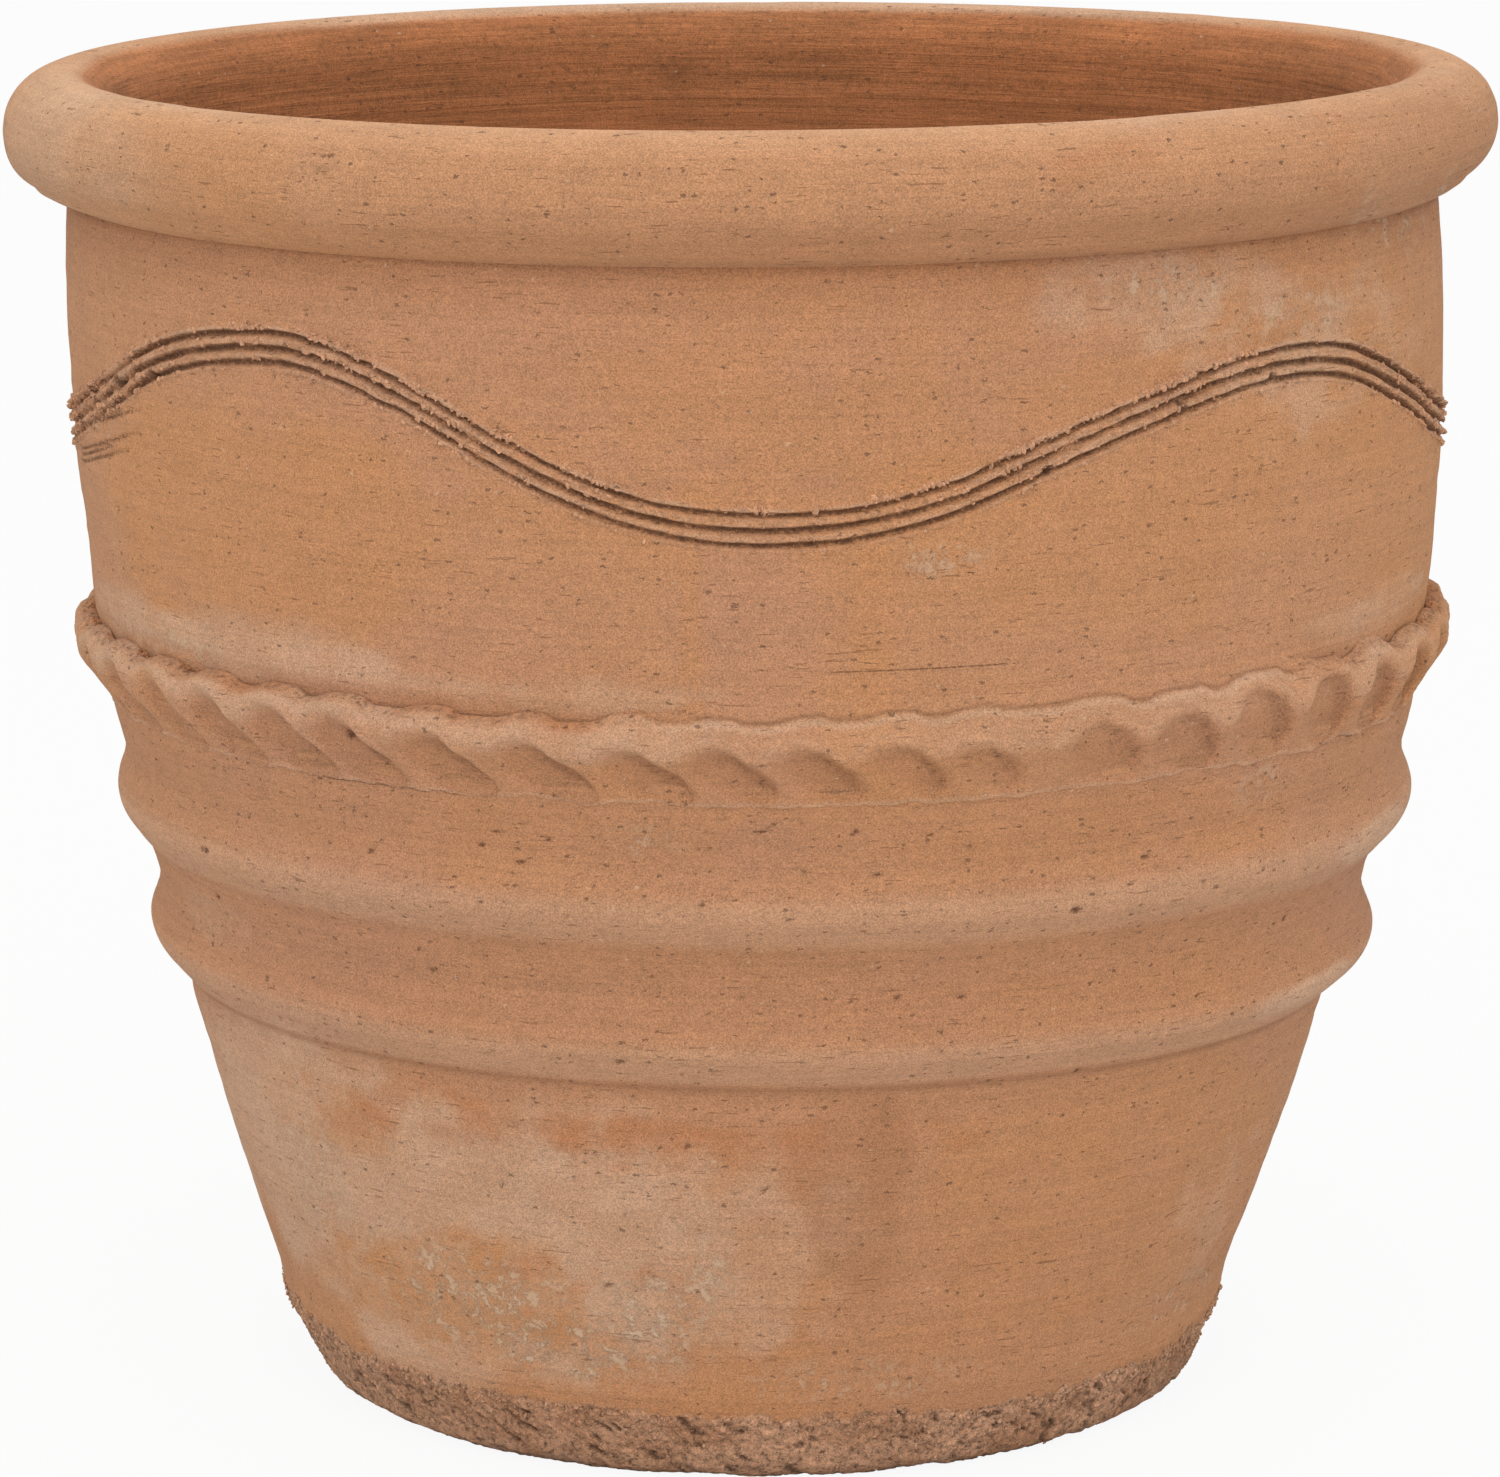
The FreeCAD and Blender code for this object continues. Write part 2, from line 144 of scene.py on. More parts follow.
# Holes left by burnt-out or lost grit: angle in degrees, height, half width, half height, depth.
SEEN_PITS = (
    (-24.0, 223.6, 1.2, 0.7, 1.1), (-22.5, 228.6, 2.6, 0.4, 0.7), (-20.6, 219.1, 1.5, 0.6, 1.0),
    (-18.0, 227.2, 1.1, 0.6, 0.8), (-34.9, 217.1, 1.0, 0.9, 1.2), (-0.4, 232.1, 2.4, 0.5, 0.8),
    (9.0, 217.4, 1.6, 0.5, 1.0), (-55.5, 205.2, 2.2, 1.1, 1.1), (33.2, 215.9, 1.7, 0.6, 1.0),
    (7.3, 231.6, 0.8, 0.8, 1.0), (13.5, 229.5, 1.4, 0.5, 0.8), (-5.3, 208.8, 1.0, 0.7, 0.8),
    (-58.4, 185.2, 1.6, 0.9, 1.1), (26.1, 202.5, 1.7, 1.1, 1.1), (-30.2, 177.5, 1.5, 0.8, 1.0),
    (-9.6, 181.8, 1.0, 0.6, 0.8), (-12.5, 154.1, 1.9, 0.9, 0.8), (11.9, 175.3, 2.0, 0.8, 1.0),
    (17.8, 174.5, 1.6, 0.6, 0.9), (55.3, 182.8, 1.0, 0.8, 1.0), (-34.6, 256.6, 1.5, 1.4, 1.6),
    (-39.8, 246.1, 1.0, 0.8, 1.0), (-56.4, 362.2, 2.2, 1.6, 2.6), (-63.0, 356.8, 2.4, 1.8, 2.6),
    (44.3, 365.0, 1.5, 1.2, 2.2), (34.6, 359.4, 1.2, 1.4, 2.0), (22.5, 343.3, 1.6, 1.3, 2.2),
    (-27.8, 130.1, 3.2, 0.7, 0.7), (-23.6, 126.6, 4.2, 0.8, 0.8), (-19.3, 129.9, 3.0, 0.5, 0.6),
    (-32.4, 127.8, 2.2, 0.6, 0.6), (-6.7, 124.0, 1.4, 0.9, 0.9), (-15.6, 72.2, 2.8, 0.5, 0.6),
    (30.8, 144.5, 1.2, 0.9, 1.0),
)
# Zones of small pits: their number, the heights between which they lie, and their scale.
PIT_ZONES = ((330, 190, 240, 0.7), (140, 150, 190, 0.65), (60, 45, 140, 0.7))
# A hairline crack in the drum: its height, and the angles in degrees between which it runs.
CRACK_UP = 283.2
CRACK_ENDS = (4.5, 21.5)
# Rows of points in the rim's tuck and round its roll.
RIM_TUCK = 6
RIM_ROUND = 62
# Dents in the rim: angle in degrees, length along its section, half width, half height, depth.
RIM_CHIPS = (
    (-34.8, 17, 1.2, 0.9, 1.0), (-31.4, 24, 2.6, 0.8, 0.7), (-31.3, 29, 2.4, 1.0, 0.6),
    (47, 20, 1.4, 1.0, 0.7), (52, 75, 5, 3, 1.2), (14, 4, 2, 1, 0.6), (150, 30, 2, 2, 0.8),
)

# Fired clay as the eye sees it in plain light. Some colours also serve as painted light and shade:
# crease and the last, darkest colour are painted shade in creases, pits, pores, cracks and holes, rim_top is
# a
# painted highlight on the rim's top, and shade, groove and inside_dark are partly painted shade.
CLAY = {
    "wall": (191, 140, 102), "orange": (194, 139, 93), "pink": (188, 139, 108), "pale": (201, 163, 133),
    "shade": (177, 126, 90), "crease": (158, 111, 80), "groove": (120, 77, 51), "raw": (212, 166, 132),
    "rust": (186, 124, 80), "lime": (218, 192, 164), "rim": (193, 143, 104), "rim_top": (199, 152, 114),
    "inside": (177, 115, 72), "inside_dark": (140, 88, 54), "deep_shade": (104, 74, 56),
}

# Cloudy patches: angle in degrees, height, half width, half height, strength, raggedness and colour.
STAINS = (
    (-44, 86, 186, 54, 0.88, 0.25, "pale"), (-46, 116, 60, 14, 0.5, 0.7, "orange"),
    (-24, 58, 60, 22, 0.5, 0.7, "pale"), (-41, 60, 92, 25, 0.9, 0.45, "orange"),
    (10, 108, 24, 44, 0.75, 0.3, "shade"), (0, 78, 22, 36, 0.6, 0.4, "pale"),
    (44, 92, 110, 52, 0.5, 0.4, "orange"), (60, 74, 40, 30, 0.35, 0.8, "pale"),
    (26, 50, 60, 14, 0.35, 0.8, "orange"), (-46, 316, 100, 38, 0.75, 0.3, "orange"),
    (-2, 376, 140, 40, 0.5, 0.5, "pink"), (4, 300, 60, 20, 0.35, 0.5, "pink"),
    (26, 318, 90, 34, 0.45, 0.4, "orange"), (-52, 280, 96, 9, 0.7, 0.4, "pale"),
    (-22, 275, 90, 5, 0.5, 0.5, "pale"), (60, 281, 60, 6, 0.55, 0.5, "pale"),
    (67, 202, 42, 8, 0.9, 0.2, "pale"), (62, 155, 46, 8, 0.85, 0.2, "pale"),
    (34, 392, 50, 16, 0.65, 0.9, "pale"), (50, 366, 60, 22, 0.5, 0.9, "pale"),
    (62, 330, 50, 50, 0.35, 0.4, "orange"), (-44, 46, 50, 13, 0.55, 0.8, "orange"),
    (-30, 228, 60, 14, 0.35, 0.6, "orange"), (32, 226, 80, 14, 0.5, 0.5, "orange"),
    (0, 226, 15, 13, 0.7, 0.2, "pink"), (-62, 176, 30, 9, 0.4, 0.6, "pale"),
    (-8, 170, 60, 10, 0.35, 0.6, "pink"), (30, 172, 90, 10, 0.4, 0.5, "orange"),
    (140, 92, 110, 44, 0.7, 0.5, "pale"), (-120, 330, 100, 44, 0.6, 0.4, "orange"),
    (168, 372, 120, 40, 0.5, 0.5, "pink"), (112, 280, 90, 8, 0.6, 0.4, "pale"),
    (-150, 202, 60, 8, 0.7, 0.3, "pale"), (-165, 60, 90, 30, 0.5, 0.6, "pale"),
    (-98, 110, 30, 44, 0.4, 0.4, "shade"), (100, 226, 80, 14, 0.5, 0.5, "orange"),
    (-140, 155, 60, 8, 0.6, 0.3, "pale"), (-28, 127, 70, 9, 0.5, 0.95, "rust"),
    (-9, 123, 50, 8, 0.5, 0.95, "rust"), (12, 127, 50, 7, 0.4, 0.95, "rust"),
    (-48, 120, 40, 8, 0.4, 0.95, "rust"), (-19, 74, 40, 6, 0.4, 0.95, "rust"),
    (-1, 296, 24, 46, 0.5, 0.3, "pink"), (-5.4, 300, 5, 42, 0.5, 0.5, "orange"),
    (8.6, 298, 7, 42, 0.65, 0.4, "orange"), (-160, 395, 60, 18, 0.5, 0.9, "pale"),
    (120, 350, 60, 40, 0.4, 0.6, "orange"),
)
# Crusts of lime: angle in degrees, height, half width, half height and strength.
BLOOMS = (
    (-22, 46, 62, 14, 0.9), (-34, 60, 70, 22, 0.8), (-12, 58, 26, 24, 0.9), (-52, 92, 40, 24, 0.5),
    (-5, 72, 12, 26, 0.7), (14, 318, 16, 7, 0.6), (33, 398, 26, 9, 0.6), (47, 384, 40, 12, 0.5),
    (-56, 274, 60, 6, 0.5), (12, 38, 70, 8, 0.5), (46, 232, 16, 9, 0.4), (-10, 228, 12, 6, 0.5),
    (66, 415, 40, 20, 0.7), (60, 44, 50, 10, 0.5), (130, 60, 80, 22, 0.7), (-150, 50, 90, 16, 0.8),
    (-110, 330, 30, 14, 0.4), (170, 300, 60, 10, 0.4),
)


def linear(name):
    """One of the clay colours as linear light."""
    share = np.array(CLAY[name]) / 255
    return np.where(share <= 0.04045, share / 12.92, ((share + 0.055) / 1.055) ** 2.4)


def ease(low, high, value):
    """0 at low, 1 at high and smooth between, for low above high too."""
    share = np.clip((value - low) / (high - low), 0, 1)
    return share * share * (3 - 2 * share)


def bell(value, power=2):
    """1 in the middle, falling off to both sides."""
    return np.exp(-value ** power)


def smooth_line(points, at, closes_after=0):
    """The height at a place of a smooth line through points, which may repeat after a length."""
    where, value = np.array(points, float).T
    if closes_after:
        at = (at - where[0]) % closes_after + where[0]
        where = np.concatenate((where[-2:] - closes_after, where, where[:2] + closes_after))
        value = np.concatenate((value[-2:], value, value[:2]))
    slope = np.gradient(value, where)
    index = np.clip(np.searchsorted(where, at, side="right") - 1, 0, len(where) - 2)
    step = where[index + 1] - where[index]
    t = np.clip((at - where[index]) / step, 0, 1)
    rise = value[index + 1] - value[index]
    bend = t * (1 - t) * step
    return value[index] + rise * t * t * (3 - 2 * t) + bend * ((1 - t) * slope[index] - t * slope[index + 1])


def lattice(i, j, seed):
    """A value from -1 to 1 for each whole-numbered place, always the same."""
    mixed = i.astype(np.uint32) * np.uint32(374761393) + j.astype(np.uint32) * np.uint32(668265263)
    mixed = mixed + np.uint32(seed * 40503 + 977)
    mixed = (mixed ^ (mixed >> 13)) * np.uint32(1274126177)
    mixed = (mixed ^ (mixed >> 15)) * np.uint32(2246822519)
    mixed = mixed ^ (mixed >> 16)
    return mixed / 2147483648.0 - 1


def patches(angle, up, wide, tall, seed):
    """Smooth values from -1 to 1 over the skin, in patches of a size, closed round the pot."""
    count = max(3, round(TAU * SKIN_RADIUS / wide))
    u = angle / TAU % 1 * count
    v = up / tall + 4096
    u, v = np.broadcast_arrays(u, v)
    i = np.floor(u).astype(np.int64)
    j = np.floor(v).astype(np.int64)
    s = u - i
    t = v - j
    s = s * s * (3 - 2 * s)
    t = t * t * (3 - 2 * t)
    below = lattice(i % count, j, seed) * (1 - s) + lattice((i + 1) % count, j, seed) * s
    above = lattice(i % count, j + 1, seed) * (1 - s) + lattice((i + 1) % count, j + 1, seed) * s
    return below * (1 - t) + above * t


def rugged(angle, up, size, seed, stretch=1, layers=4):
    """Patches inside patches, each layer half the size of the one before."""
    total = 0
    weight = 1
    for layer in range(layers):
        moved_angle = angle + 0.37 * layer
        moved_up = up + 13.7 * layer
        total = total + weight * patches(moved_angle, moved_up, size * stretch, size, seed + layer)
        size = size / 2
        weight = weight * 0.58
    return total / 1.7


def turn_between(angle, degrees):
    """The angle from a bearing to each point, from -pi to pi."""
    return (angle - math.radians(degrees) + math.pi) % TAU - math.pi


def bearing(angle):
    """The angle from the front in degrees, from -180 to 180."""
    return np.degrees(turn_between(angle, 0))


def beyond(low, high, up):
    """How far a height lies outside a stretch."""
    return np.maximum(np.maximum(low - up, up - high), 0)


def oval(angle, up, middle, level, reach, rise):
    """0 in the middle of an oval on the skin and 1 on its edge."""
    across = turn_between(angle, middle) * SKIN_RADIUS / reach
    above = (up - level) / rise
    return np.sqrt(across ** 2 + above ** 2)


def wave_height(angle):
    """Height of the middle groove of the wave."""
    return smooth_line(WAVE, np.degrees(angle), 360)


def tornness(angle):
    """How torn the combed clay is, 0 to 1."""
    return smooth_line(TORN, np.degrees(angle), 360)


def swells(angle, up):
    """Slow swells, finger ribs and fine lines that throwing leaves, in mm."""
    slow = 0.45 * patches(angle, up, 300, 55, 11)
    ribs = 0.16 * patches(angle + up * 0.01, up, 700, 4.5, 12)
    lines = 0.05 * patches(angle + up * 0.01, up, 300, 1.6, 13)
    return slow + ribs + lines


def seeded_pits():
    """Small pits all round, most of them between the rope and the bands."""
    dice = np.random.default_rng(47)
    made = []
    for count, low, high, scale in PIT_ZONES:
        for _ in range(count):
            wide = scale * dice.uniform(0.6, 1.1) * (1 + 2.2 * dice.random() ** 4)
            tall = scale * dice.uniform(0.35, 0.75)
            place = (dice.uniform(-180, 180), dice.uniform(low, high))
            made.append((*place, wide, tall, scale * dice.uniform(0.5, 1.1)))
    return made


PITS = tuple(SEEN_PITS) + tuple(seeded_pits())


def pit_depth(angle, up):
    """Depth of the pits, in mm."""
    depth = np.zeros(np.broadcast(angle, up).shape)
    low, high = float(np.min(up)), float(np.max(up))
    rows = np.broadcast_to(up, depth.shape)
    for degrees, level, wide, tall, deep in PITS:
        if not low - 3 < level < high + 3:
            continue
        near = np.abs(turn_between(angle[:, 0], degrees)) * LEAST_RADIUS < 4 * wide
        across = turn_between(angle[near], degrees) * SKIN_RADIUS / wide
        above = (rows[near] - level) / tall
        depth[near] += deep * np.exp(-np.minimum((across ** 2 + above ** 2) ** 1.5, 40))
    return depth


def foot_line(angle):
    """Height at which the rough foot ends."""
    ragged = 1.5 * patches(angle, 0 * angle, 11, 1, 21) + 1.2 * patches(angle, 0 * angle, 4, 1, 22)
    return smooth_line(FOOT_EDGE, np.degrees(angle), 360) + ragged


def foot_rawness(angle, up):
    """1 on the rough foot and 0 on the smooth wall above it."""
    frayed = 2.6 * rugged(angle, up, 8, 24, 1.6)
    return ease(0.8, -0.8, up - foot_line(angle) - frayed)


def foot_relief(angle, up):
    """Torn and dragged clay of the foot, in mm, with a ragged edge under the smooth wall."""
    raw = foot_rawness(angle, up)
    drag = angle + up * 0.0065
    lumps = 0.8 * rugged(drag, up * 0.8, 8.5, 23, 1.3)
    holes = -1.7 * ease(-0.3, -0.8, rugged(drag, up, 5.0, 29, 1.2))
    crumbs = 0.5 * patches(angle, up, 2.4, 1.9, 35) + 0.3 * patches(angle, up, 1.3, 1.2, 36)
    torn = ease(3, 0, foot_line(angle) - up)
    return raw * (lumps + holes + crumbs + 0.6 - 0.5 * torn)


def combing(angle, up):
    """Relief of the comb's grooves with the clay that they pushed up, in mm, and how far inside a groove,
    which marks painted shade that sits towards each groove's upper edge.
    """
    torn = tornness(angle)
    over = up - wave_height(angle)
    relief = np.zeros(over.shape)
    inside = np.zeros(over.shape)
    for tooth, (offset, half, deep) in enumerate(COMB):
        seed = 41 + 10 * tooth
        sway = 0.25 * patches(angle, 0 * over, 30, 1, seed)
        sway = sway + 0.4 * torn * patches(angle, over, 6, 3, seed + 1)
        width = half * (1 + 0.14 * patches(angle, 0 * over, 12, 1, seed + 2)
                        + (0.12 + 0.3 * torn) * patches(angle, over, 4.2, 2, seed + 3))
        off = np.abs(over - offset - sway)
        cut = ease(width + 0.4, width - 0.4, off)
        floor = deep * (1 + 0.25 * patches(angle, over, 14, 2, seed + 4))
        lump = np.clip(0.45 + 0.75 * patches(angle, over, 4.2, 1.6, seed + 5), 0, 1)
        high_side = ease(-0.5, 0.5, over - offset)
        burr = 0.25 + (0.8 + (2.0 if tooth == 0 else 0.4) * high_side) * torn * lump
        burr = burr * bell((off - width - 0.8) / (0.6 + 0.25 * high_side))
        relief += burr - floor * cut
        # The mask is set 0.3 mm above the groove's middle: painted shadow under the groove's upper edge.
        shaded = np.abs(over - offset - sway - 0.3)
        inside = np.maximum(inside, np.clip(0.5 + (0.8 * width - shaded) / 1.6, 0, 1))
    bridged = torn * ease(0.35, 0.8, rugged(angle, over, 7, 66, 1.4)) * ease(6.5, 4.5, np.abs(over))
    relief = relief * (1 - 0.8 * bridged)
    inside = inside * (1 - 0.8 * bridged)
    tangle = ease(-56, -66, bearing(angle)) * ease(9.5, 6.5, np.abs(over + 1))
    tangled = tangle * rugged(angle + over * 0.004, over, 5, 71)
    relief = relief * (1 - 0.35 * tangle) + 1.2 * tangled
    inside = np.clip(inside * (1 - 0.4 * tangle) - 0.8 * tangled, 0, 1)
    return relief, inside


def first_strokes(angle, up):
    """Depth of the light strokes that fade out below the start of the wave."""
    depth = np.zeros(np.broadcast(angle, up).shape)
    turn = bearing(angle)
    for (start, start_up), (end, end_up) in FIRST_STROKES:
        share = (turn - start) / (end - start)
        line = start_up + (end_up - start_up) * np.maximum(share, 0) ** 1.15 + 0 * up
        fade = ease(-0.25, 0.05, share) * ease(1.1, 0.55, share)
        width = 0.62 + 0.15 * patches(angle, up, 5, 3, 77)
        depth = depth + 1.0 * fade * bell((up - line) / width)
    return depth


def skin(angle, up):
    """Radius of the outside of the walls and plain bands."""
    shift = 0.7 * patches(angle, 0 * up, 190, 1, 14) * ease(120, 150, up) * ease(250, 235, up)
    radius = smooth_line(SKIN_OUTLINE, up + shift) + swells(angle, up) * ease(18, 45, up)
    return radius - pit_depth(angle, up) + foot_relief(angle, up)


def inner_skin(angle, up):
    """Radius of the inside of the walls, with the ribs of the throwing fingers."""
    turned = angle + up * 0.02
    ribs = 0.7 * patches(turned, up, 900, 9, 81) + 0.25 * patches(turned, up, 500, 3, 82)
    return smooth_line(INSIDE_OUTLINE, up) + ribs * ease(24, 60, up) * ease(416, 396, up)


def stained(colour, angle, up, stain, seed):
    """A colour with one cloudy patch laid over it."""
    middle, level, reach, rise, strength, ragged, name = stain
    frayed = (0.3 + 0.4 * ragged) * rugged(angle, up, 34, seed, 1.3)
    distance = oval(angle, up, middle, level, reach, rise) + frayed
    broken = 1 - ragged + ragged * ease(-0.25, 0.35, rugged(angle, up, 13, seed + 7, 1.2))
    return mixed(colour, name, strength * broken * ease(1.1, 0.74, distance))


def lime_bloom(angle, up):
    """How much lime has come out of the clay, 0 to 1."""
    bloom = np.zeros(np.broadcast(angle, up).shape)
    for number, (middle, level, reach, rise, strength) in enumerate(BLOOMS):
        distance = oval(angle, up, middle, level, reach, rise) + 0.4 * rugged(angle, up, 24, 701 + number)
        bloom = np.maximum(bloom, strength * ease(1.2, 0.3, distance))
    return bloom


def mixed(colour, name, weight):
    """A colour drawn towards one of the clay colours."""
    weight = np.clip(weight, 0, 1)[..., None]
    return colour * (1 - weight) + linear(name) * weight


def tinted(colour, *layers):
    """A colour with clay colours laid over it in turn, each as its name and weight."""
    for name, weight in layers:
        colour = mixed(colour, name, weight)
    return colour


def coat(shape, name):
    """One clay colour all over."""
    return np.zeros(shape + (3,)) + linear(name)


def foot_colour(angle, up):
    """Colour of the raw clay of the foot, with painted shade in its holes."""
    # The darkest colour follows the same pattern as the foot's holes: painted shade.
    foot = tinted(coat(angle.shape, "raw"),
                  ("shade", 0.6 * ease(-0.2, 0.7, rugged(angle, up, 22, 99, 1.6))),
                  ("pale", 0.7 * ease(0.0, 0.7, rugged(angle, up, 16, 103, 2))),
                  ("deep_shade", 0.8 * ease(-0.3, -0.75, rugged(angle + up * 0.0065, up, 5.0, 29, 1.2))))
    return foot * (1 + 0.16 * patches(angle, up, 1.8, 1.4, 107)[..., None])


def skin_colour(angle, up):
    """Colour of the outside of the walls and bands: cloudy clay, stains, strips, creases and the raw foot,
    with painted light on the bands' lower faces and painted shade in the creases, in the pits, between the
    bands, under the rope and under the rim.
    """
    angle, up = np.broadcast_arrays(angle, up)
    cloud = rugged(angle, up, 90, 91, 1.6)
    colour = tinted(coat(angle.shape, "wall"),
                    ("orange", 0.7 * ease(0.0, 0.8, cloud)), ("pink", 0.7 * ease(0.0, -0.8, cloud)))
    for number, stain in enumerate(STAINS):
        colour = stained(colour, angle, up, stain, 200 + 20 * number)
    # Painted light: the bands' lower faces are paler. Painted shade: the waist between the bands, the zone
    # under the rope,
    # the crease under the lower band, the drum under the rim and the pits are darker.
    ripple = up + 1.6 * rugged(angle, up, 40, 95, 3)
    under_upper = ease(191, 197, ripple) * ease(213, 206, ripple)
    under_lower = ease(144.5, 147, ripple) * ease(162, 156, ripple)
    waist = ease(160, 167, ripple) * ease(194, 189, ripple)
    colour = tinted(colour,
                    ("pale", 0.4 * under_upper + 0.4 * under_lower), ("shade", 0.28 * waist),
                    ("shade", 0.3 * ease(212, 222, ripple) * ease(246, 240, ripple)),
                    ("crease", 0.6 * bell((up - 143.6) / 1.5)),
                    ("shade", 0.45 * ease(388, 406, ripple)),
                    ("deep_shade", 0.3 * np.clip(pit_depth(angle, up), 0, 1)))
    wisps = rugged(angle + up * 0.004, up * 2.2, 10, 97, 9)
    speckled = rugged(angle, up, 7, 98, 1.2)
    colour = colour * (1 + 0.02 * wisps[..., None] + 0.025 * speckled[..., None])
    raw = foot_rawness(angle, up)[..., None]
    return colour * (1 - raw) + foot_colour(angle, up) * raw


def inner_colour(angle, up):
    """Colour of the inside: plain darker clay with rings of the throwing, and painted shade that deepens
    towards the floor.
    """
    angle, up = np.broadcast_arrays(angle, up)
    rings = rugged(angle + up * 0.01, up * 1.4, 9, 111, 30)
    # inside_dark gives the rings, and painted shade that grows between 300 and 120 mm up.
    colour = tinted(coat(angle.shape, "inside"),
                    ("inside_dark", 0.35 * ease(0.0, 0.9, rings) + 0.4 * ease(300, 120, up)),
                    ("rust", 0.35 * ease(0.1, 0.8, rugged(angle, up, 60, 117, 2.4))),
                    ("rust", 0.45 * bell(turn_between(angle, 180) / 0.35)))
    blotches = 0.09 * rugged(angle, up, 50, 113, 2) + 0.13 * rugged(angle, up, 12, 119, 2.5)
    return colour * (1 + blotches[..., None])


def placed(angle, across, up):
    """Points of the pot in metres, with the drift and the lean that it was thrown with."""
    side = across * np.sin(angle)
    front = -across * np.cos(angle)
    height = up + smooth_line(LEAN, up) * side
    return np.stack((side + smooth_line(DRIFT, up) + 0 * up, front, height), -1) * MM


def beside(*parts):
    """The rows of several parts of a section as one."""
    return np.concatenate(parts, 1)


def turns(columns):
    """Angles of a number of columns round the pot, starting at the back, as one tall column."""
    return (np.arange(columns) / columns * TAU - math.pi)[:, None]


def linked(name, data):
    """A new object in the scene."""
    thing = bpy.data.objects.new(name, data)
    bpy.context.scene.collection.objects.link(thing)
    return thing


def mark_points(mesh, name, values):
    """Keep a number or a colour for each point of a mesh, for its material to read."""
    kind, field = "FLOAT", "value"
    if values.ndim > 1:
        kind, field = "FLOAT_COLOR", "color"
        values = beside(values, np.ones((len(values), 1)))
    mesh.attributes.new(name, kind, "POINT").data.foreach_set(field, values.astype(np.float32).ravel())


def ring(name, angle, across, up, colour, marks, material, crisp=()):
    """A closed ring of clay from its section at each angle: up the outside and down the inside.

    The marks say for each point how raw, dragged or limy the clay is there, and how much painted shade lies
    in its hollows. The edges along the crisp rows stay sharp."""
    angle, across, up = np.broadcast_arrays(angle, across, up)
    columns, rows = up.shape
    points = placed(angle, across, up).reshape(-1, 3)
    column = np.arange(columns)[:, None] * rows
    next_column = np.roll(column, -1)
    row = np.arange(rows)[None, :]
    next_row = np.roll(row, -1)
    corners = (column + row, next_column + row, next_column + next_row, column + next_row)
    quads = np.stack(corners, -1).reshape(-1, 4)
    mesh = bpy.data.meshes.new(name)
    mesh.from_pydata(points.tolist(), [], quads.tolist())
    mesh.shade_smooth()
    if crisp:
        ends = np.zeros(len(mesh.edges) * 2, np.int64)
        mesh.edges.foreach_get("vertices", ends)
        first, second = (ends % rows).reshape(-1, 2).T
        along = (first == second) & np.isin(first, crisp)
        mesh.attributes.new("sharp_edge", "BOOLEAN", "EDGE").data.foreach_set("value", along)
    colour = np.broadcast_to(colour, (columns, rows, 3)).reshape(-1, 3)
    mark_points(mesh, "clay_colour", np.clip(colour, 0, 1))
    for mark, amount in marks.items():
        mark_points(mesh, mark, np.broadcast_to(amount, (columns, rows)).ravel())
    mesh.materials.append(material)
    return linked(name, mesh)


def stands_for(piece, node):
    """Let a piece ride on the pot in place of a CAD node, which is hidden."""
    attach(piece, "root")
    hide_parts(node)


def connect(tree, node, inputs):
    """Set or link the inputs of a node, each by its name or number."""
    for key, value in inputs.items():
        if isinstance(value, bpy.types.NodeSocket):
            tree.links.new(value, node.inputs[key])
        else:
            node.inputs[key].default_value = value


def node_maker(tree):
    """A function that adds a node to a tree, with its inputs and its settings."""
    def add(kind, inputs=None, **settings):
        node = tree.nodes.new(kind)
        for setting, value in settings.items():
            setattr(node, setting, value)
        connect(tree, node, inputs or {})
        return node
    return add


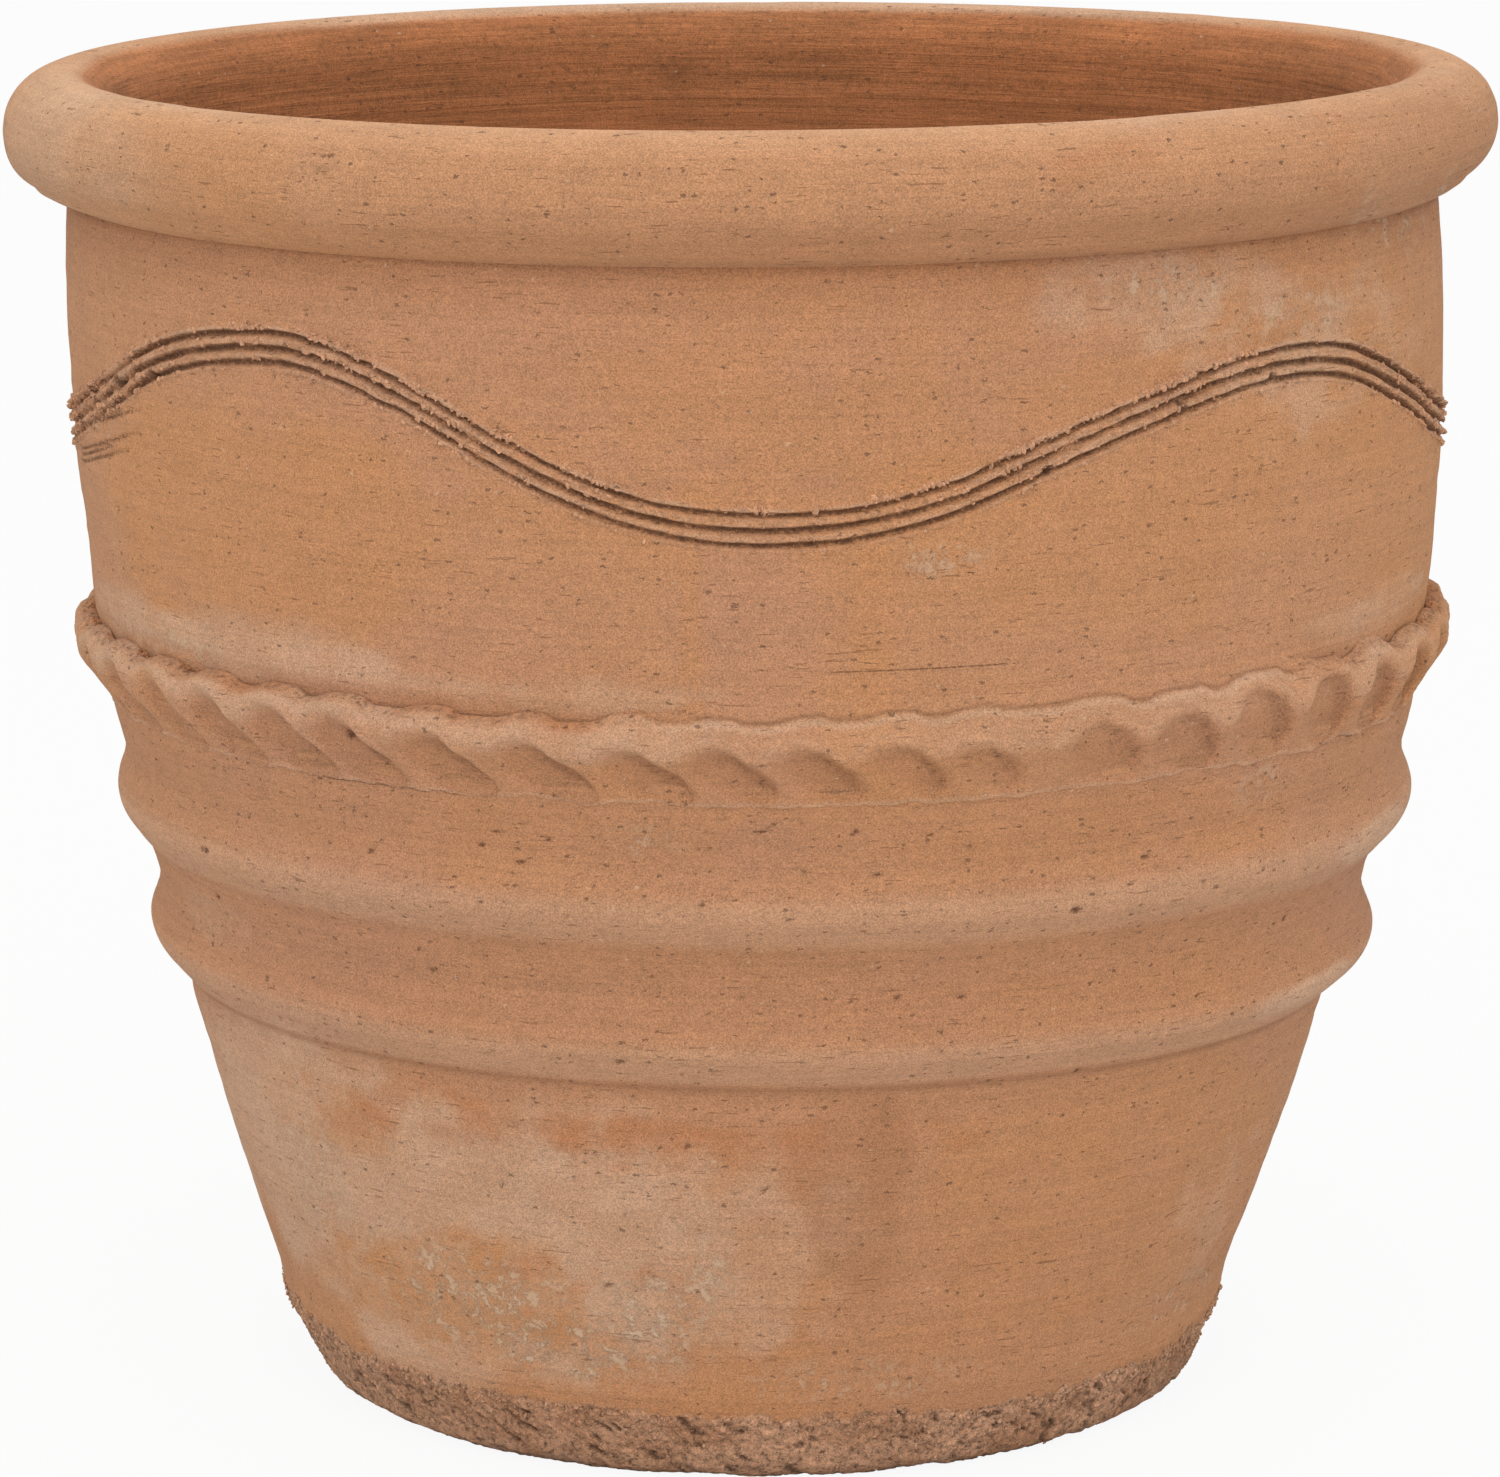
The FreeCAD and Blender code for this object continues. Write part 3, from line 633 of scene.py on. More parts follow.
def clay_material(name, grain_depth, line_depth, raw_depth, speckle):
    """Fired clay: the piece's own colour with grain, wiping lines, grit, pores, lime and torn places, and
    painted shade in its pores, cracks and marked hollows.
    """
    material = bpy.data.materials.new(name)
    material.use_nodes = True
    tree = material.node_tree
    add = node_maker(tree)
    place = add("ShaderNodeTexCoord").outputs["Object"]

    def own(attribute, output="Fac"):
        return add("ShaderNodeAttribute", attribute_name=attribute).outputs[output]

    def stretched(vector, stretch):
        return add("ShaderNodeMapping", {"Scale": stretch, "Vector": vector}).outputs["Vector"]

    def noise(scale, detail, roughness, stretch=(1, 1, 1), output="Fac"):
        return add("ShaderNodeTexNoise", {
            "Scale": scale, "Detail": detail, "Roughness": roughness,
            "Vector": stretched(place, stretch)}).outputs[output]

    def ranged(*inputs):
        return add("ShaderNodeMapRange", dict(enumerate(inputs)), interpolation_type="SMOOTHSTEP").outputs[0]

    def calculated(operation, first, second):
        return add("ShaderNodeMath", {0: first, 1: second}, operation=operation).outputs[0]

    def total(*values):
        result = values[0]
        for value in values[1:]:
            result = calculated("ADD", result, value)
        return result

    def times(first, second):
        return calculated("MULTIPLY", first, second)

    def vector_sum(operation, first, second):
        return add("ShaderNodeVectorMath", {0: first, 1: second}, operation=operation).outputs[0]

    def spots(scale, stretch, rare, radius, soft):
        texture = add("ShaderNodeTexVoronoi", {"Scale": scale, "Vector": stretched(bent_place, stretch)})
        split = add("ShaderNodeSeparateColor", {"Color": texture.outputs["Color"]})
        chosen = ranged(split.outputs[0], rare, rare + 0.02, 0, 1)
        size = total(times(split.outputs[1], radius), 0.5 * radius)
        near = calculated("SUBTRACT", size, texture.outputs["Distance"])
        return times(ranged(near, 0, soft, 0, 1), chosen)

    def mix(weight, colour, target):
        inputs = {"Factor": weight, "A": colour, "B": (*linear(target), 1)}
        return add("ShaderNodeMix", inputs, data_type="RGBA").outputs["Result"]

    wobble = vector_sum("SUBTRACT", noise(900, 2, 0.6, output="Color"), (0.5, 0.5, 0.5))
    bent_place = vector_sum("ADD", place, vector_sum("MULTIPLY", wobble, (0.0024, 0.0024, 0.0024)))
    mottle = noise(75, 5, 0.65)
    grain = noise(1900, 2, 0.7)
    grit = noise(420, 5, 0.78)
    lines = noise(9, 6, 0.7, (1, 1, 62))
    streaks = noise(16, 6, 0.78, (1, 1, 30))
    rawness = own("rawness")
    dragged = own("dragged")
    brightness = total(ranged(mottle, 0.3, 0.7, 0.965, 1.035), ranged(grain, 0.3, 0.7, -0.26, 0.3),
                       ranged(grit, 0.35, 0.65, -0.06, 0.06), ranged(lines, 0.32, 0.68, -0.05, 0.05),
                       times(ranged(streaks, 0.35, 0.65, -0.18, 0.16), dragged),
                       times(ranged(grit, 0.4, 0.6, -0.12, 0.16), rawness))
    inputs = {0: own("clay_colour", "Color"), "Scale": brightness}
    colour = add("ShaderNodeVectorMath", inputs, operation="SCALE").outputs[0]
    crust = times(ranged(noise(190, 7, 0.8), 0.49, 0.57, 0, 0.7), own("bloom"))
    white_grit = spots(260, (1, 1, 1.2), 0.87, 0.14, 0.08)
    pore = spots(250, (1, 1, 2.4), 0.72, 0.19, 0.05)
    scratch = times(ranged(noise(100, 2, 0.5, (1, 1, 13)), 0.665, 0.69, 0, 1),
                    ranged(mottle, 0.49, 0.55, 0, 1))
    # The hollows mark is painted shade, made ragged by noise, with a darker painted shadow in its core.
    ragged = total(own("hollow"), ranged(noise(760, 4, 0.7), 0.3, 0.7, -0.4, 0.4))
    hollow = ranged(ragged, 0.42, 0.56, 0, 1)
    shadow_core = ranged(ragged, 0.74, 0.95, 0, 1)
    cracks = times(ranged(grit, 0.46, 0.37, 0, 1), rawness)
    colour = mix(crust, colour, "lime")
    colour = mix(times(white_grit, 0.6 * speckle), colour, "lime")
    # Painted shade: pores, marked hollows, their cores and cracks in raw clay are darkened.
    colour = mix(times(pore, 0.75 * speckle), colour, "deep_shade")
    colour = mix(times(scratch, 0.6 * speckle), colour, "groove")
    colour = mix(times(hollow, 0.55), colour, "groove")
    colour = mix(times(shadow_core, 0.75), colour, "deep_shade")
    colour = mix(times(cracks, 0.7), colour, "deep_shade")
    height = total(times(grain, grain_depth), times(lines, line_depth), times(pore, -0.35),
                   times(hollow, -0.3), times(scratch, -0.2), times(times(grit, raw_depth), rawness),
                   times(times(streaks, 0.9), dragged), times(crust, 0.3))
    bump = add("ShaderNodeBump", {"Strength": 1, "Distance": MM, "Height": height})
    connect(tree, tree.nodes["Principled BSDF"], {
        "Roughness": 0.9, "Specular IOR Level": 0.28, "Diffuse Roughness": 0.6,
        "Base Color": colour, "Normal": bump.outputs["Normal"]})
    return material


WALL_CLAY = clay_material("wall_clay", 0.3, 0.5, 2.0, 0.8)
BAND_CLAY = clay_material("band_clay", 0.32, 0.4, 2.0, 0.8)
RIM_CLAY = clay_material("rim_clay", 0.28, 0.8, 1.6, 0.9)
FOOT_CLAY = clay_material("foot_clay", 0.4, 0.2, 2.4, 0.8)
INNER_CLAY = clay_material("inner_clay", 0.35, 0.8, 2.0, 0.5)


def skin_marks(angle, outer_up, inner_up):
    """The marks of a piece: raw foot, painted shade in the pits and lime outside, finger drags inside."""
    inner = 0 * (inner_up + angle)
    return {"rawness": beside(foot_rawness(angle, outer_up), inner),
            "hollow": beside(np.clip(0.9 * pit_depth(angle, outer_up), 0, 0.8), inner),
            "bloom": beside(lime_bloom(angle, outer_up), inner),
            "dragged": beside(0 * (outer_up + angle), inner + 1)}


def wall_piece(name, columns, outer_up, seen, inner_up):
    """A wall section: its outside, sunk a little where a band or a neighbour hides it, and its inside."""
    angle = turns(columns)
    rows = len(outer_up)
    outer_up, inner_up = (np.broadcast_to(part, (columns, len(part))) for part in (outer_up, inner_up))
    hidden = beyond(*seen, outer_up)
    outside = skin(angle, outer_up)
    sunk = np.minimum(outside - 0.5 * hidden, smooth_line(BARE_OUTLINE, outer_up) - 0.1)
    outside = np.where(hidden > 0, sunk, outside)
    across = beside(outside, inner_skin(angle, inner_up))
    up = beside(outer_up, inner_up)
    colour = beside(skin_colour(angle, outer_up), inner_colour(angle, inner_up))
    marks = skin_marks(angle, outer_up, inner_up)
    stands_for(ring(name, angle, across, up, colour, marks, WALL_CLAY, (rows - 1, rows)), name)


def make_lower_wall():
    """The plain cone over the foot."""
    near_foot = np.arange(29.3, 40, 0.7)
    outer_up = np.concatenate((near_foot, np.arange(40, 143.2, 1.9), (143.2, 143.9, 146, 150.4)))
    inner_up = np.concatenate(((164.4, 158), np.arange(150, 26, -9), (25,)))
    wall_piece("lower_wall", 960, outer_up, (29.9, 143.3), inner_up)


def make_waist_wall():
    """The short section between the two plain bands."""
    seen_up = np.arange(175, 188, 0.9)
    outer_up = np.concatenate(((150.6, 165, 173, 174.2), seen_up, (188.6, 189.6, 192, 195.4)))
    wall_piece("waist_wall", 1100, outer_up, (175, 188), np.arange(209.4, 164.3, -4.5))


def make_shoulder_wall():
    """The section between the upper plain band and the rope."""
    seen_up = np.arange(220, 242.5, 0.55)
    outer_up = np.concatenate(((195.6, 210, 218, 219.2), seen_up, (243.4, 246, 248.9)))
    wall_piece("shoulder_wall", 1500, outer_up, (220, 242.4), np.arange(260.9, 209.3, -4.7))


def drum_rows(angle):
    """Heights of the drum's rows, which follow the wave so that the comb's grooves are cut cleanly."""
    wave = wave_height(angle)
    strokes = bell(turn_between(angle, -69) / 0.2)
    low = wave - 9.5 - 21 * strokes
    high = wave + 10
    foot = (249.1, 258, 265.5, 266.5, 271, 276, 280.5, CRACK_UP - 0.4, CRACK_UP, CRACK_UP + 0.4)
    foot = np.array((foot,)) + 0 * angle
    below = 287 + (low - 287) * np.linspace(0, 1, 13)[None, :]
    combed = low + (high - low) * np.linspace(0, 1, 54)[None, 1:]
    above = high + (409 - high) * np.linspace(0, 1, 13)[None, 1:] ** 1.08
    top = np.array(((410, 412),)) + 0 * angle
    return beside(foot, below, combed, above, top)


def make_upper_wall():
    """The drum with the combed wave and the hairline crack."""
    angle = turns(970)
    outer_up = drum_rows(angle)
    rows = outer_up.shape[1]
    hidden = beyond(266.8, 409.2, outer_up)
    relief, inside_groove = combing(angle, outer_up)
    strokes_cut = first_strokes(angle, outer_up)
    outside = skin(angle, outer_up) + relief - strokes_cut
    outside = np.where(hidden > 0, smooth_line(BARE_OUTLINE, outer_up) - 0.3 - 0.2 * hidden, outside)
    inner_up = np.concatenate(((415.9, 410), np.arange(398, 268, -14), (261.1,)))[None, :] + 0 * angle
    across = beside(outside, inner_skin(angle, inner_up))
    up = beside(outer_up, inner_up)
    over = outer_up - wave_height(angle)
    crumbled = 0.35 + 0.65 * tornness(angle) * ease(0, 0.8, rugged(angle, outer_up, 6, 121))
    scar = bell(over / 7.6, 4) * crumbled
    # The raised burrs are paler: painted highlight.
    colour = tinted(skin_colour(angle, outer_up),
                    ("groove", 0.06 * bell(over / 7.0, 6)),
                    ("raw", 0.35 * scar), ("pale", 0.6 * ease(0.15, 0.9, relief)))
    colour = beside(colour, inner_colour(angle, inner_up))
    turn = bearing(angle)
    start, end = CRACK_ENDS
    crack = ease(start, start + 1, turn) * ease(end, end - 4, turn)
    # Painted shade in the comb's grooves, in the first strokes and in the crack, carried by the hollows mark.
    groove = np.maximum(inside_groove, np.clip(0.75 * strokes_cut, 0, 0.8))
    groove = np.maximum(groove, 0.95 * crack * bell((outer_up - CRACK_UP) / 0.15))
    marks = skin_marks(angle, outer_up, inner_up)
    marks["hollow"][:, :rows] = np.maximum(groove, 1.3 * marks["hollow"][:, :rows])
    marks["rawness"][:, :rows] = np.clip(0.5 * inside_groove + 0.7 * scar, 0, 1)
    piece = ring("upper_wall", angle, across, up, colour, marks, WALL_CLAY, (rows - 1, rows))
    stands_for(piece, "upper_wall")


def make_plain_band(name, low, high):
    """An applied band: its rounded face from the skin, and a plain back on the bare wall."""
    angle = turns(1100)
    face_up = np.concatenate(((low - 0.9,), np.arange(low, high, 0.62), (high, high + 0.9)))
    rows = len(face_up)
    face_up = face_up[None, :] + 0 * angle
    face = skin(angle, face_up) - 0.8 * beyond(low, high, face_up)
    back_up = np.linspace(high - 2, low + 2, 5)[None, :] + 0 * angle
    up = beside(face_up, back_up)
    across = beside(face, smooth_line(BARE_OUTLINE, back_up) - 0.4)
    marks = skin_marks(angle, face_up, back_up)
    piece = ring(name, angle, across, up, skin_colour(angle, up), marks, BAND_CLAY,
                 (0, 1, rows - 2, rows - 1))
    stands_for(piece, name)


def rope_presses():
    """Every thumb press round the rope: those of the front, and more of the same for the rest."""
    dice = np.random.default_rng(9)
    presses = list(SEEN_PRESSES)
    first = SEEN_PRESSES[-1][0] + PRESS_PITCH
    last = SEEN_PRESSES[0][0] + 360 - PRESS_PITCH
    count = round((last - first) / PRESS_PITCH) + 1
    for number in range(count):
        degrees = first + (last - first) * number / (count - 1) + dice.uniform(-0.7, 0.7)
        lean = ease(0, 10, number) * ease(count, count - 10, number)
        slant = 66 - 22 * ease(0, count - 1, number) - 4 * lean
        presses.append((degrees, 251.2 + dice.uniform(-1, 1), dice.uniform(3.6, 4.5), dice.uniform(14, 17),
                        dice.uniform(10, 11.5), slant + dice.uniform(-4, 4)))
    return presses


def press_relief(angle, up):
    """Depth of the thumb presses, their steep sides on the upper right, and the lips round them."""
    depth = np.zeros(np.broadcast(angle, up).shape)
    steep = np.zeros(depth.shape)
    lips = np.zeros(depth.shape)
    rows = np.broadcast_to(up, depth.shape)
    for degrees, level, deep, half_length, half_width, slant in rope_presses():
        near = np.abs(turn_between(angle[:, 0], degrees)) < PRESS_REACH
        side = turn_between(angle[near], degrees) * ROPE_RADIUS
        above = rows[near] - level
        lean = math.radians(slant)
        wobble = 0.7 * patches(angle[near], above, 9, 5, 131)
        length = (side * math.cos(lean) - above * math.sin(lean)) / half_length
        width = (side * math.sin(lean) + above * math.cos(lean) + wobble) / half_width
        long_part = length ** 2 * np.where(length > 0, 0.6, 1.0)
        reach = np.sqrt(long_part + np.where(width > 0, width, 0.5 * width) ** 2)
        slope = np.clip((width + 1.25) / 1.2, 0, 1)
        bowl = ease(1.03, 0.68 - 0.26 * ease(0.1, -0.7, length), reach) * slope * slope * (3 - 2 * slope)
        depth[near] = np.maximum(depth[near], deep * bowl)
        wall = ease(1.04, 0.88, reach) * ease(0.2, 0.65, reach)
        wall = wall * ease(-0.3, 0.45, width) * ease(-0.7, 0, length)
        steep[near] = np.maximum(steep[near], wall)
        lip = bell((reach - 1.13) / 0.1) * ease(-0.6, 0.1, width) * ease(0.9, 0.3, length) * deep / 5
        lips[near] = np.maximum(lips[near], lip)
    return depth, steep, lips


def make_rope_band():
    """The thumb-pressed strip, with its waved upper lip, torn loose at the left and wiped down elsewhere."""
    angle = turns(1520)
    share = np.linspace(0, 1, ROPE_ROWS)
    along = np.linspace(0, 1, len(TORN_OUTLINE))
    turn = bearing(angle) + 6 * patches(angle, 0 * angle, 40, 1, 132)
    wiped = ease(-16, 2, turn) * ease(60, 48, turn) + ease(110, 130, turn) * ease(178, 160, turn)
    face_up, face = (
        np.interp(share, along, torn)[None, :] * (1 - wiped) + np.interp(share, along, smooth) * wiped
        for torn, smooth in zip(np.array(TORN_OUTLINE, float).T, np.array(WIPED_OUTLINE, float).T))
    depth, steep, lips = press_relief(angle, face_up)
    reach = press_relief(angle, 257 + 0 * angle)[0] / 4
    arch = ease(250, 263, face_up) * (2.4 * reach - 1.6 + 0.4 * patches(angle, 0 * angle, 26, 1, 133))
    arch = arch + 0.5 * patches(angle, 0 * angle, 120, 1, 134)
    arch = arch * (1 - 0.6 * wiped * ease(268, 276, face_up))
    low_wave = ease(246, 241, face_up) * 1.3 * rugged(angle, 0 * angle, 18, 139)
    low_wave = low_wave + ease(244, 241, face_up) * (0.5 * patches(angle, 0 * angle, 5, 1, 140))
    proud = ease(240.5, 244, face_up) * ease(269, 266, face_up)
    drag_lines = 0.16 * patches(angle, face_up - 1.2 * arch, 90, 0.9, 135) * ease(262, 265, face_up)
    joint = turn_between(angle, ROPE_JOINT) * ROPE_RADIUS
    overlap = 0.9 * ease(-1.2, 0.4, joint) * ease(26, 6, joint)
    overlap = overlap * ease(241, 246, face_up) * ease(264, 258, face_up)
    lumps = 0.4 * rugged(angle, face_up, 16, 136, 1.4)
    face = face - depth * ease(240.6, 244.5, face_up) * ease(268, 263.5, face_up)
    face = face + proud * (lumps + overlap + drag_lines + 0.5 * lips) - pit_depth(angle, face_up)
    face = face + wiped * swells(angle, face_up) * ease(266, 274, face_up)
    face = face + (1 - wiped) * ease(265.5, 267.5, face_up) * 0.6 * rugged(angle, face_up, 5, 137)
    back_up = np.linspace(264, 243, 4)[None, :] + 0 * angle
    across = beside(face, smooth_line(BARE_OUTLINE, back_up) - 0.4)
    up = beside(face_up + arch + low_wave, back_up)
    cloudy = ease(-0.5, 0.6, rugged(angle, face_up, 40, 130, 2))
    strip = ease(255, 260, face_up) * ease(270, 265, face_up)
    grey = ease(-52, -28, turn) * ease(24, 12, turn) + 0.6 * ease(26, 34, turn)
    wiped_line = 270 + 1.4 * rugged(angle, 0 * face_up, 34, 155)
    crease = (1 - wiped) * ease(265.6, 267.6, face_up)
    colour = skin_colour(angle, np.where(face_up > 262, face_up + 10, 272 + 0.4 * (face_up - 262)))
    # Painted highlight on the lips of the presses and along the strip's lower edge; painted shade deep in the
    # presses,
    # on their steep upper sides and in the crease along the wiped line.
    colour = tinted(colour,
                    ("pale", (0.12 + 0.25 * cloudy) * strip),
                    ("pale", 0.35 * lips + 0.45 * bell((face_up - 241.4) / 0.9)),
                    ("shade", 0.45 * ease(0.5, 3.2, depth)),
                    ("groove", 0.28 * steep * ease(0.8, 2.6, depth) * (0.4 + 0.6 * grey)),
                    ("groove", 0.55 * wiped * bell((face_up - wiped_line) / 0.6)),
                    ("lime", 0.3 * wiped * bell((face_up - wiped_line + 2) / 1.1)),
                    ("rust", 0.6 * crease * ease(-0.5, 0.4, rugged(angle, face_up, 30, 138, 2))))
    colour = beside(colour, coat(back_up.shape, "wall"))
    # Painted shade under the strip's lower edge, through the hollows mark and the raw mark.
    under = bell((face_up - 240.9) / 0.5)
    under = under * ease(-0.1, 0.5, rugged(angle, 0 * face_up, 12, 129, 3))
    torn_lip = (1 - wiped) * ease(266.4, 268, face_up)
    marks = skin_marks(angle, face_up, back_up)
    marks["rawness"][:, :ROPE_ROWS] = np.clip(0.7 * torn_lip + 0.3 * steep + 0.5 * under, 0, 1)
    marks["hollow"][:, :ROPE_ROWS] = np.maximum(marks["hollow"][:, :ROPE_ROWS], 0.75 * under)
    stands_for(ring("rope_band", angle, across, up, colour, marks, BAND_CLAY), "rope_band")


def rim_section():
    """The rim's section from the tuck under the roll, over the roll and down into the mouth.

    For each row: distance from the axis, height, length along the section, the way that relief pushes it
    out and up, and whether it is seen."""
    across, up, radius = 231.0, 431.2, 18.6
    sweep = np.radians(np.linspace(-58, 178, RIM_ROUND))
    tuck = (227.6, 229.0, 230.6, 233.2, 236.4, 238.9)
    tuck_up = (406.8, 408.0, 408.6, 409.6, 411.2, 413.0)
    inner = (212.2, 212.0, 211.9, 215.5, 222.0)
    inner_up = (424, 420, 416.0, 414.6, 411.0)
    along = (np.linspace(-16, 0, RIM_TUCK), radius * (sweep - sweep[0]), 77 + np.linspace(6, 26, 5))
    outward = (np.full(RIM_TUCK, 0.8), np.cos(sweep), (-1, -1, -1, 0, 0))
    upward = (np.full(RIM_TUCK, -0.6), np.sin(sweep), np.zeros(5))
    seen = ((0, 0), np.ones(RIM_TUCK + RIM_ROUND), (0, 0, 0))
    rows = ((tuck, across + radius * np.cos(sweep), inner), (tuck_up, up + radius * np.sin(sweep), inner_up),
            along, outward, upward, seen)
    return [np.concatenate(row)[None, :] for row in rows]


def make_rim_roll():
    """The rolled rim, round above and tucked in below, with the slow lumps of a hand-rolled coil."""
    angle = turns(900)
    across, up, along, outward, upward, seen = rim_section()
    along = along + 0 * angle
    lumps = 0.35 * patches(angle, along, 210, 26, 141) + 0.1 * patches(angle, along, 500, 3.4, 142)
    lumps = lumps + 1.8 * bell(turn_between(angle, -88) / 0.5) * bell((along - 5) / 9)
    dents = 0.35 * ease(0.2, 1, rugged(angle, along, 28, 143, 2.2))
    chips = np.zeros(along.shape)
    for degrees, level, wide, tall, deep in RIM_CHIPS:
        off = (turn_between(angle, degrees) * RIM_RADIUS / wide) ** 2 + ((along - level) / tall) ** 2
        chips = chips + deep * np.exp(-np.minimum(off, 40))
    relief = seen * (lumps - dents - chips)
    left = turn_between(angle, -62)
    right = turn_between(angle, 62)
    # Painted highlight on the top of the roll, painted shade on its lower side and in the tuck's crease.
    colour = tinted(coat(along.shape, "rim"),
                    ("rim_top", 0.9 * ease(28, 44, along)),
                    ("shade", 0.4 * ease(20, 4, along + 2.5 * rugged(angle, along, 50, 144, 3))),
                    ("crease", 0.1 * ease(0, -12, along)),
                    ("lime", 0.3 * bell(left / 0.35)),
                    ("pale", 0.5 * ease(0.3, 0.9, rugged(angle, along, 60, 145, 2.4))),
                    ("orange", 0.6 * ease(-0.1, -0.8, rugged(angle, along, 80, 149, 2))))
    inside = ease(52.5, 59, along + 1.5 * rugged(angle, 0 * along, 30, 148))
    colour = colour * (1 - inside[..., None]) + inner_colour(angle, 490 - along) * inside[..., None]
    back = ease(118, 150, np.abs(bearing(angle)))
    flecks = 0.05 * rugged(angle, along * 2, 14, 146, 8) + 0.05 * rugged(angle, along, 9, 156, 1.6)
    rusty = ease(0.35, 0.75, rugged(angle, along, 24, 157, 2))
    # The pale at the back is a painted highlight on the lip's top.
    colour = tinted(colour,
                    ("shade", 0.35 * bell(right / 0.3) * ease(8, 16, along) * ease(56, 30, along)),
                    ("pale", 0.7 * back * ease(30, 40, along) * ease(60, 54, along)),
                    ("rust", 0.4 * rusty * ease(44, 34, along)))
    colour = colour * (1 + flecks[..., None])
    bloom = 0.8 * bell(right / 0.22) * ease(0.1, 0.5, rugged(angle, along, 30, 147))
    # The chips get painted shade through the hollows mark.
    marks = {"rawness": 0.25 * inside, "hollow": np.clip(chips, 0, 1), "bloom": bloom, "dragged": inside}
    piece = ring("rim_roll", angle, across + relief * outward, up + relief * upward, colour, marks, RIM_CLAY,
                 (RIM_TUCK + RIM_ROUND + 2,))
    stands_for(piece, "rim_roll")


def make_base_slab():
    """The floor disc: rough torn side, scraped underside, drain hole and thrown floor."""
    angle = turns(1100)
    side_up = ((0, 0.5, 1.2, 2.1, 3.0, 4.0, 5.4, 7.0), np.arange(8, 30.1, 0.56), (31.0,))
    side_up = np.concatenate(side_up)[None, :]
    floor = np.array((141, 120, 95, 70, 45, 28, 17, 13.2))[None, :]
    hole = np.array((12.7, 12.6, 12.9))[None, :]
    hole_up = np.array((22.6, 12, 1.2))[None, :]
    under = np.array((15, 30, 50, 70, 90, 110, 128, 139))[None, :]
    outside = skin(angle, side_up + 0 * angle)
    outside[:, -1] -= 1.2
    lift = 0.7 * ease(0, 1, patches(angle, 0 * angle, 22, 1, 151)) * ease(3, 0, side_up)
    floor_up = 24 + 0.5 * patches(angle + floor * 0.01, floor + 0 * angle, 2000, 12, 152)
    under_up = 0.35 + 0.35 * patches(angle, under + 0 * angle, 60, 14, 153)
    up = beside(side_up + lift, floor_up, hole_up + 0 * angle, under_up)
    across = beside(outside, floor + 0 * angle, hole + 0 * angle, under + 0 * angle)
    raw_side = foot_rawness(angle, side_up + 0 * angle)
    raw = beside(raw_side, 0.1 + 0 * floor_up, 0.8 + 0 * hole * angle, 1 + 0 * under_up)
    # The drain hole and the underside are darkened: painted shade.
    below = np.arange(hole.size + under.size)[None, :] + 0 * angle
    below = mixed(coat(below.shape, "raw"), "deep_shade", 0.3 + 0.3 * patches(angle, below, 40, 2, 154))
    colour = beside(skin_colour(angle, side_up), inner_colour(angle, 60 + floor), below)
    crisp = (side_up.size - 1, side_up.size)
    piece = ring("base_slab", angle, across, up, colour, {"rawness": raw}, FOOT_CLAY, crisp)
    stands_for(piece, "base_slab")


def make_corner_coil():
    """The thin coil pressed with a finger into the inside corner."""
    angle = turns(360)
    press = 0.8 * patches(angle, 0 * angle, 24, 1, 161)
    face_up = np.array((38, 34.0, 30.0, 27.2, 25.3, 24.4))[None, :] + 0 * angle
    face = np.array((146.4, 141.8, 138.4, 135.6, 131.8, 128.6))[None, :] + press
    back_up = np.array((24.1, 24.1, 30))[None, :] + 0 * angle
    back = np.array((134, 142.2, 144.2))[None, :] + 0 * angle
    up = beside(back_up, face_up)
    across = beside(back, face)
    marks = {"rawness": 0.2 + 0 * up, "dragged": 0.6 + 0 * up}
    piece = ring("floor_corner_coil", angle, across, up, inner_colour(angle, up), marks, INNER_CLAY)
    stands_for(piece, "floor_corner_coil")


def crumb_tree(material):
    """Geometry nodes that strew knobbly crumbs of clay over a guide's points, more where it is torn."""
    tree = bpy.data.node_groups.new("strewn_crumbs", "GeometryNodeTree")
    for name, kind in (("Guide", "Geometry"), ("Smallest", "Float"), ("Largest", "Float"), ("Seed", "Int")):
        tree.interface.new_socket(name, in_out="INPUT", socket_type=f"NodeSocket{kind}")
    tree.interface.new_socket("Crumbs", in_out="OUTPUT", socket_type="NodeSocketGeometry")
    add = node_maker(tree)
    entry = add("NodeGroupInput").outputs

    def dice(kind, *values):
        node = add("FunctionNodeRandomValue", {"Seed": entry["Seed"]}, data_type=kind)
        enabled = [number for number, socket in enumerate(node.inputs) if socket.enabled]
        connect(tree, node, dict(zip(enabled, values)))
        return next(socket for socket in node.outputs if socket.enabled)

    torn = add("GeometryNodeInputNamedAttribute", {"Name": "torn"}, data_type="FLOAT")
    lump = add("GeometryNodeMeshIcoSphere", {"Subdivisions": 1})
    knobs = add("GeometryNodeSetPosition", {
        "Geometry": lump.outputs["Mesh"],
        "Offset": dice("FLOAT_VECTOR", (-0.24, -0.24, -0.24), (0.24, 0.24, 0.24))})
    grow = add("ShaderNodeVectorMath", {
        0: dice("FLOAT_VECTOR", (0.6, 0.5, 0.45), (1.5, 1.0, 0.9)),
        "Scale": dice("FLOAT", entry["Smallest"], entry["Largest"])}, operation="SCALE")
    strew = add("GeometryNodeInstanceOnPoints", {
        "Points": add("GeometryNodeMeshToPoints", {"Mesh": entry["Guide"]}).outputs["Points"],
        "Selection": dice("BOOLEAN", torn.outputs["Attribute"]),
        "Instance": knobs.outputs["Geometry"],
        "Rotation": dice("FLOAT_VECTOR", (0, 0, 0), (TAU, TAU, TAU)),
        "Scale": grow.outputs[0]})
    real = add("GeometryNodeRealizeInstances", {"Geometry": strew.outputs["Instances"]})
    paint = add("GeometryNodeSetMaterial", {"Geometry": real.outputs["Geometry"], "Material": material})
    add("NodeGroupOutput", {"Crumbs": paint.outputs["Geometry"]})
    return tree


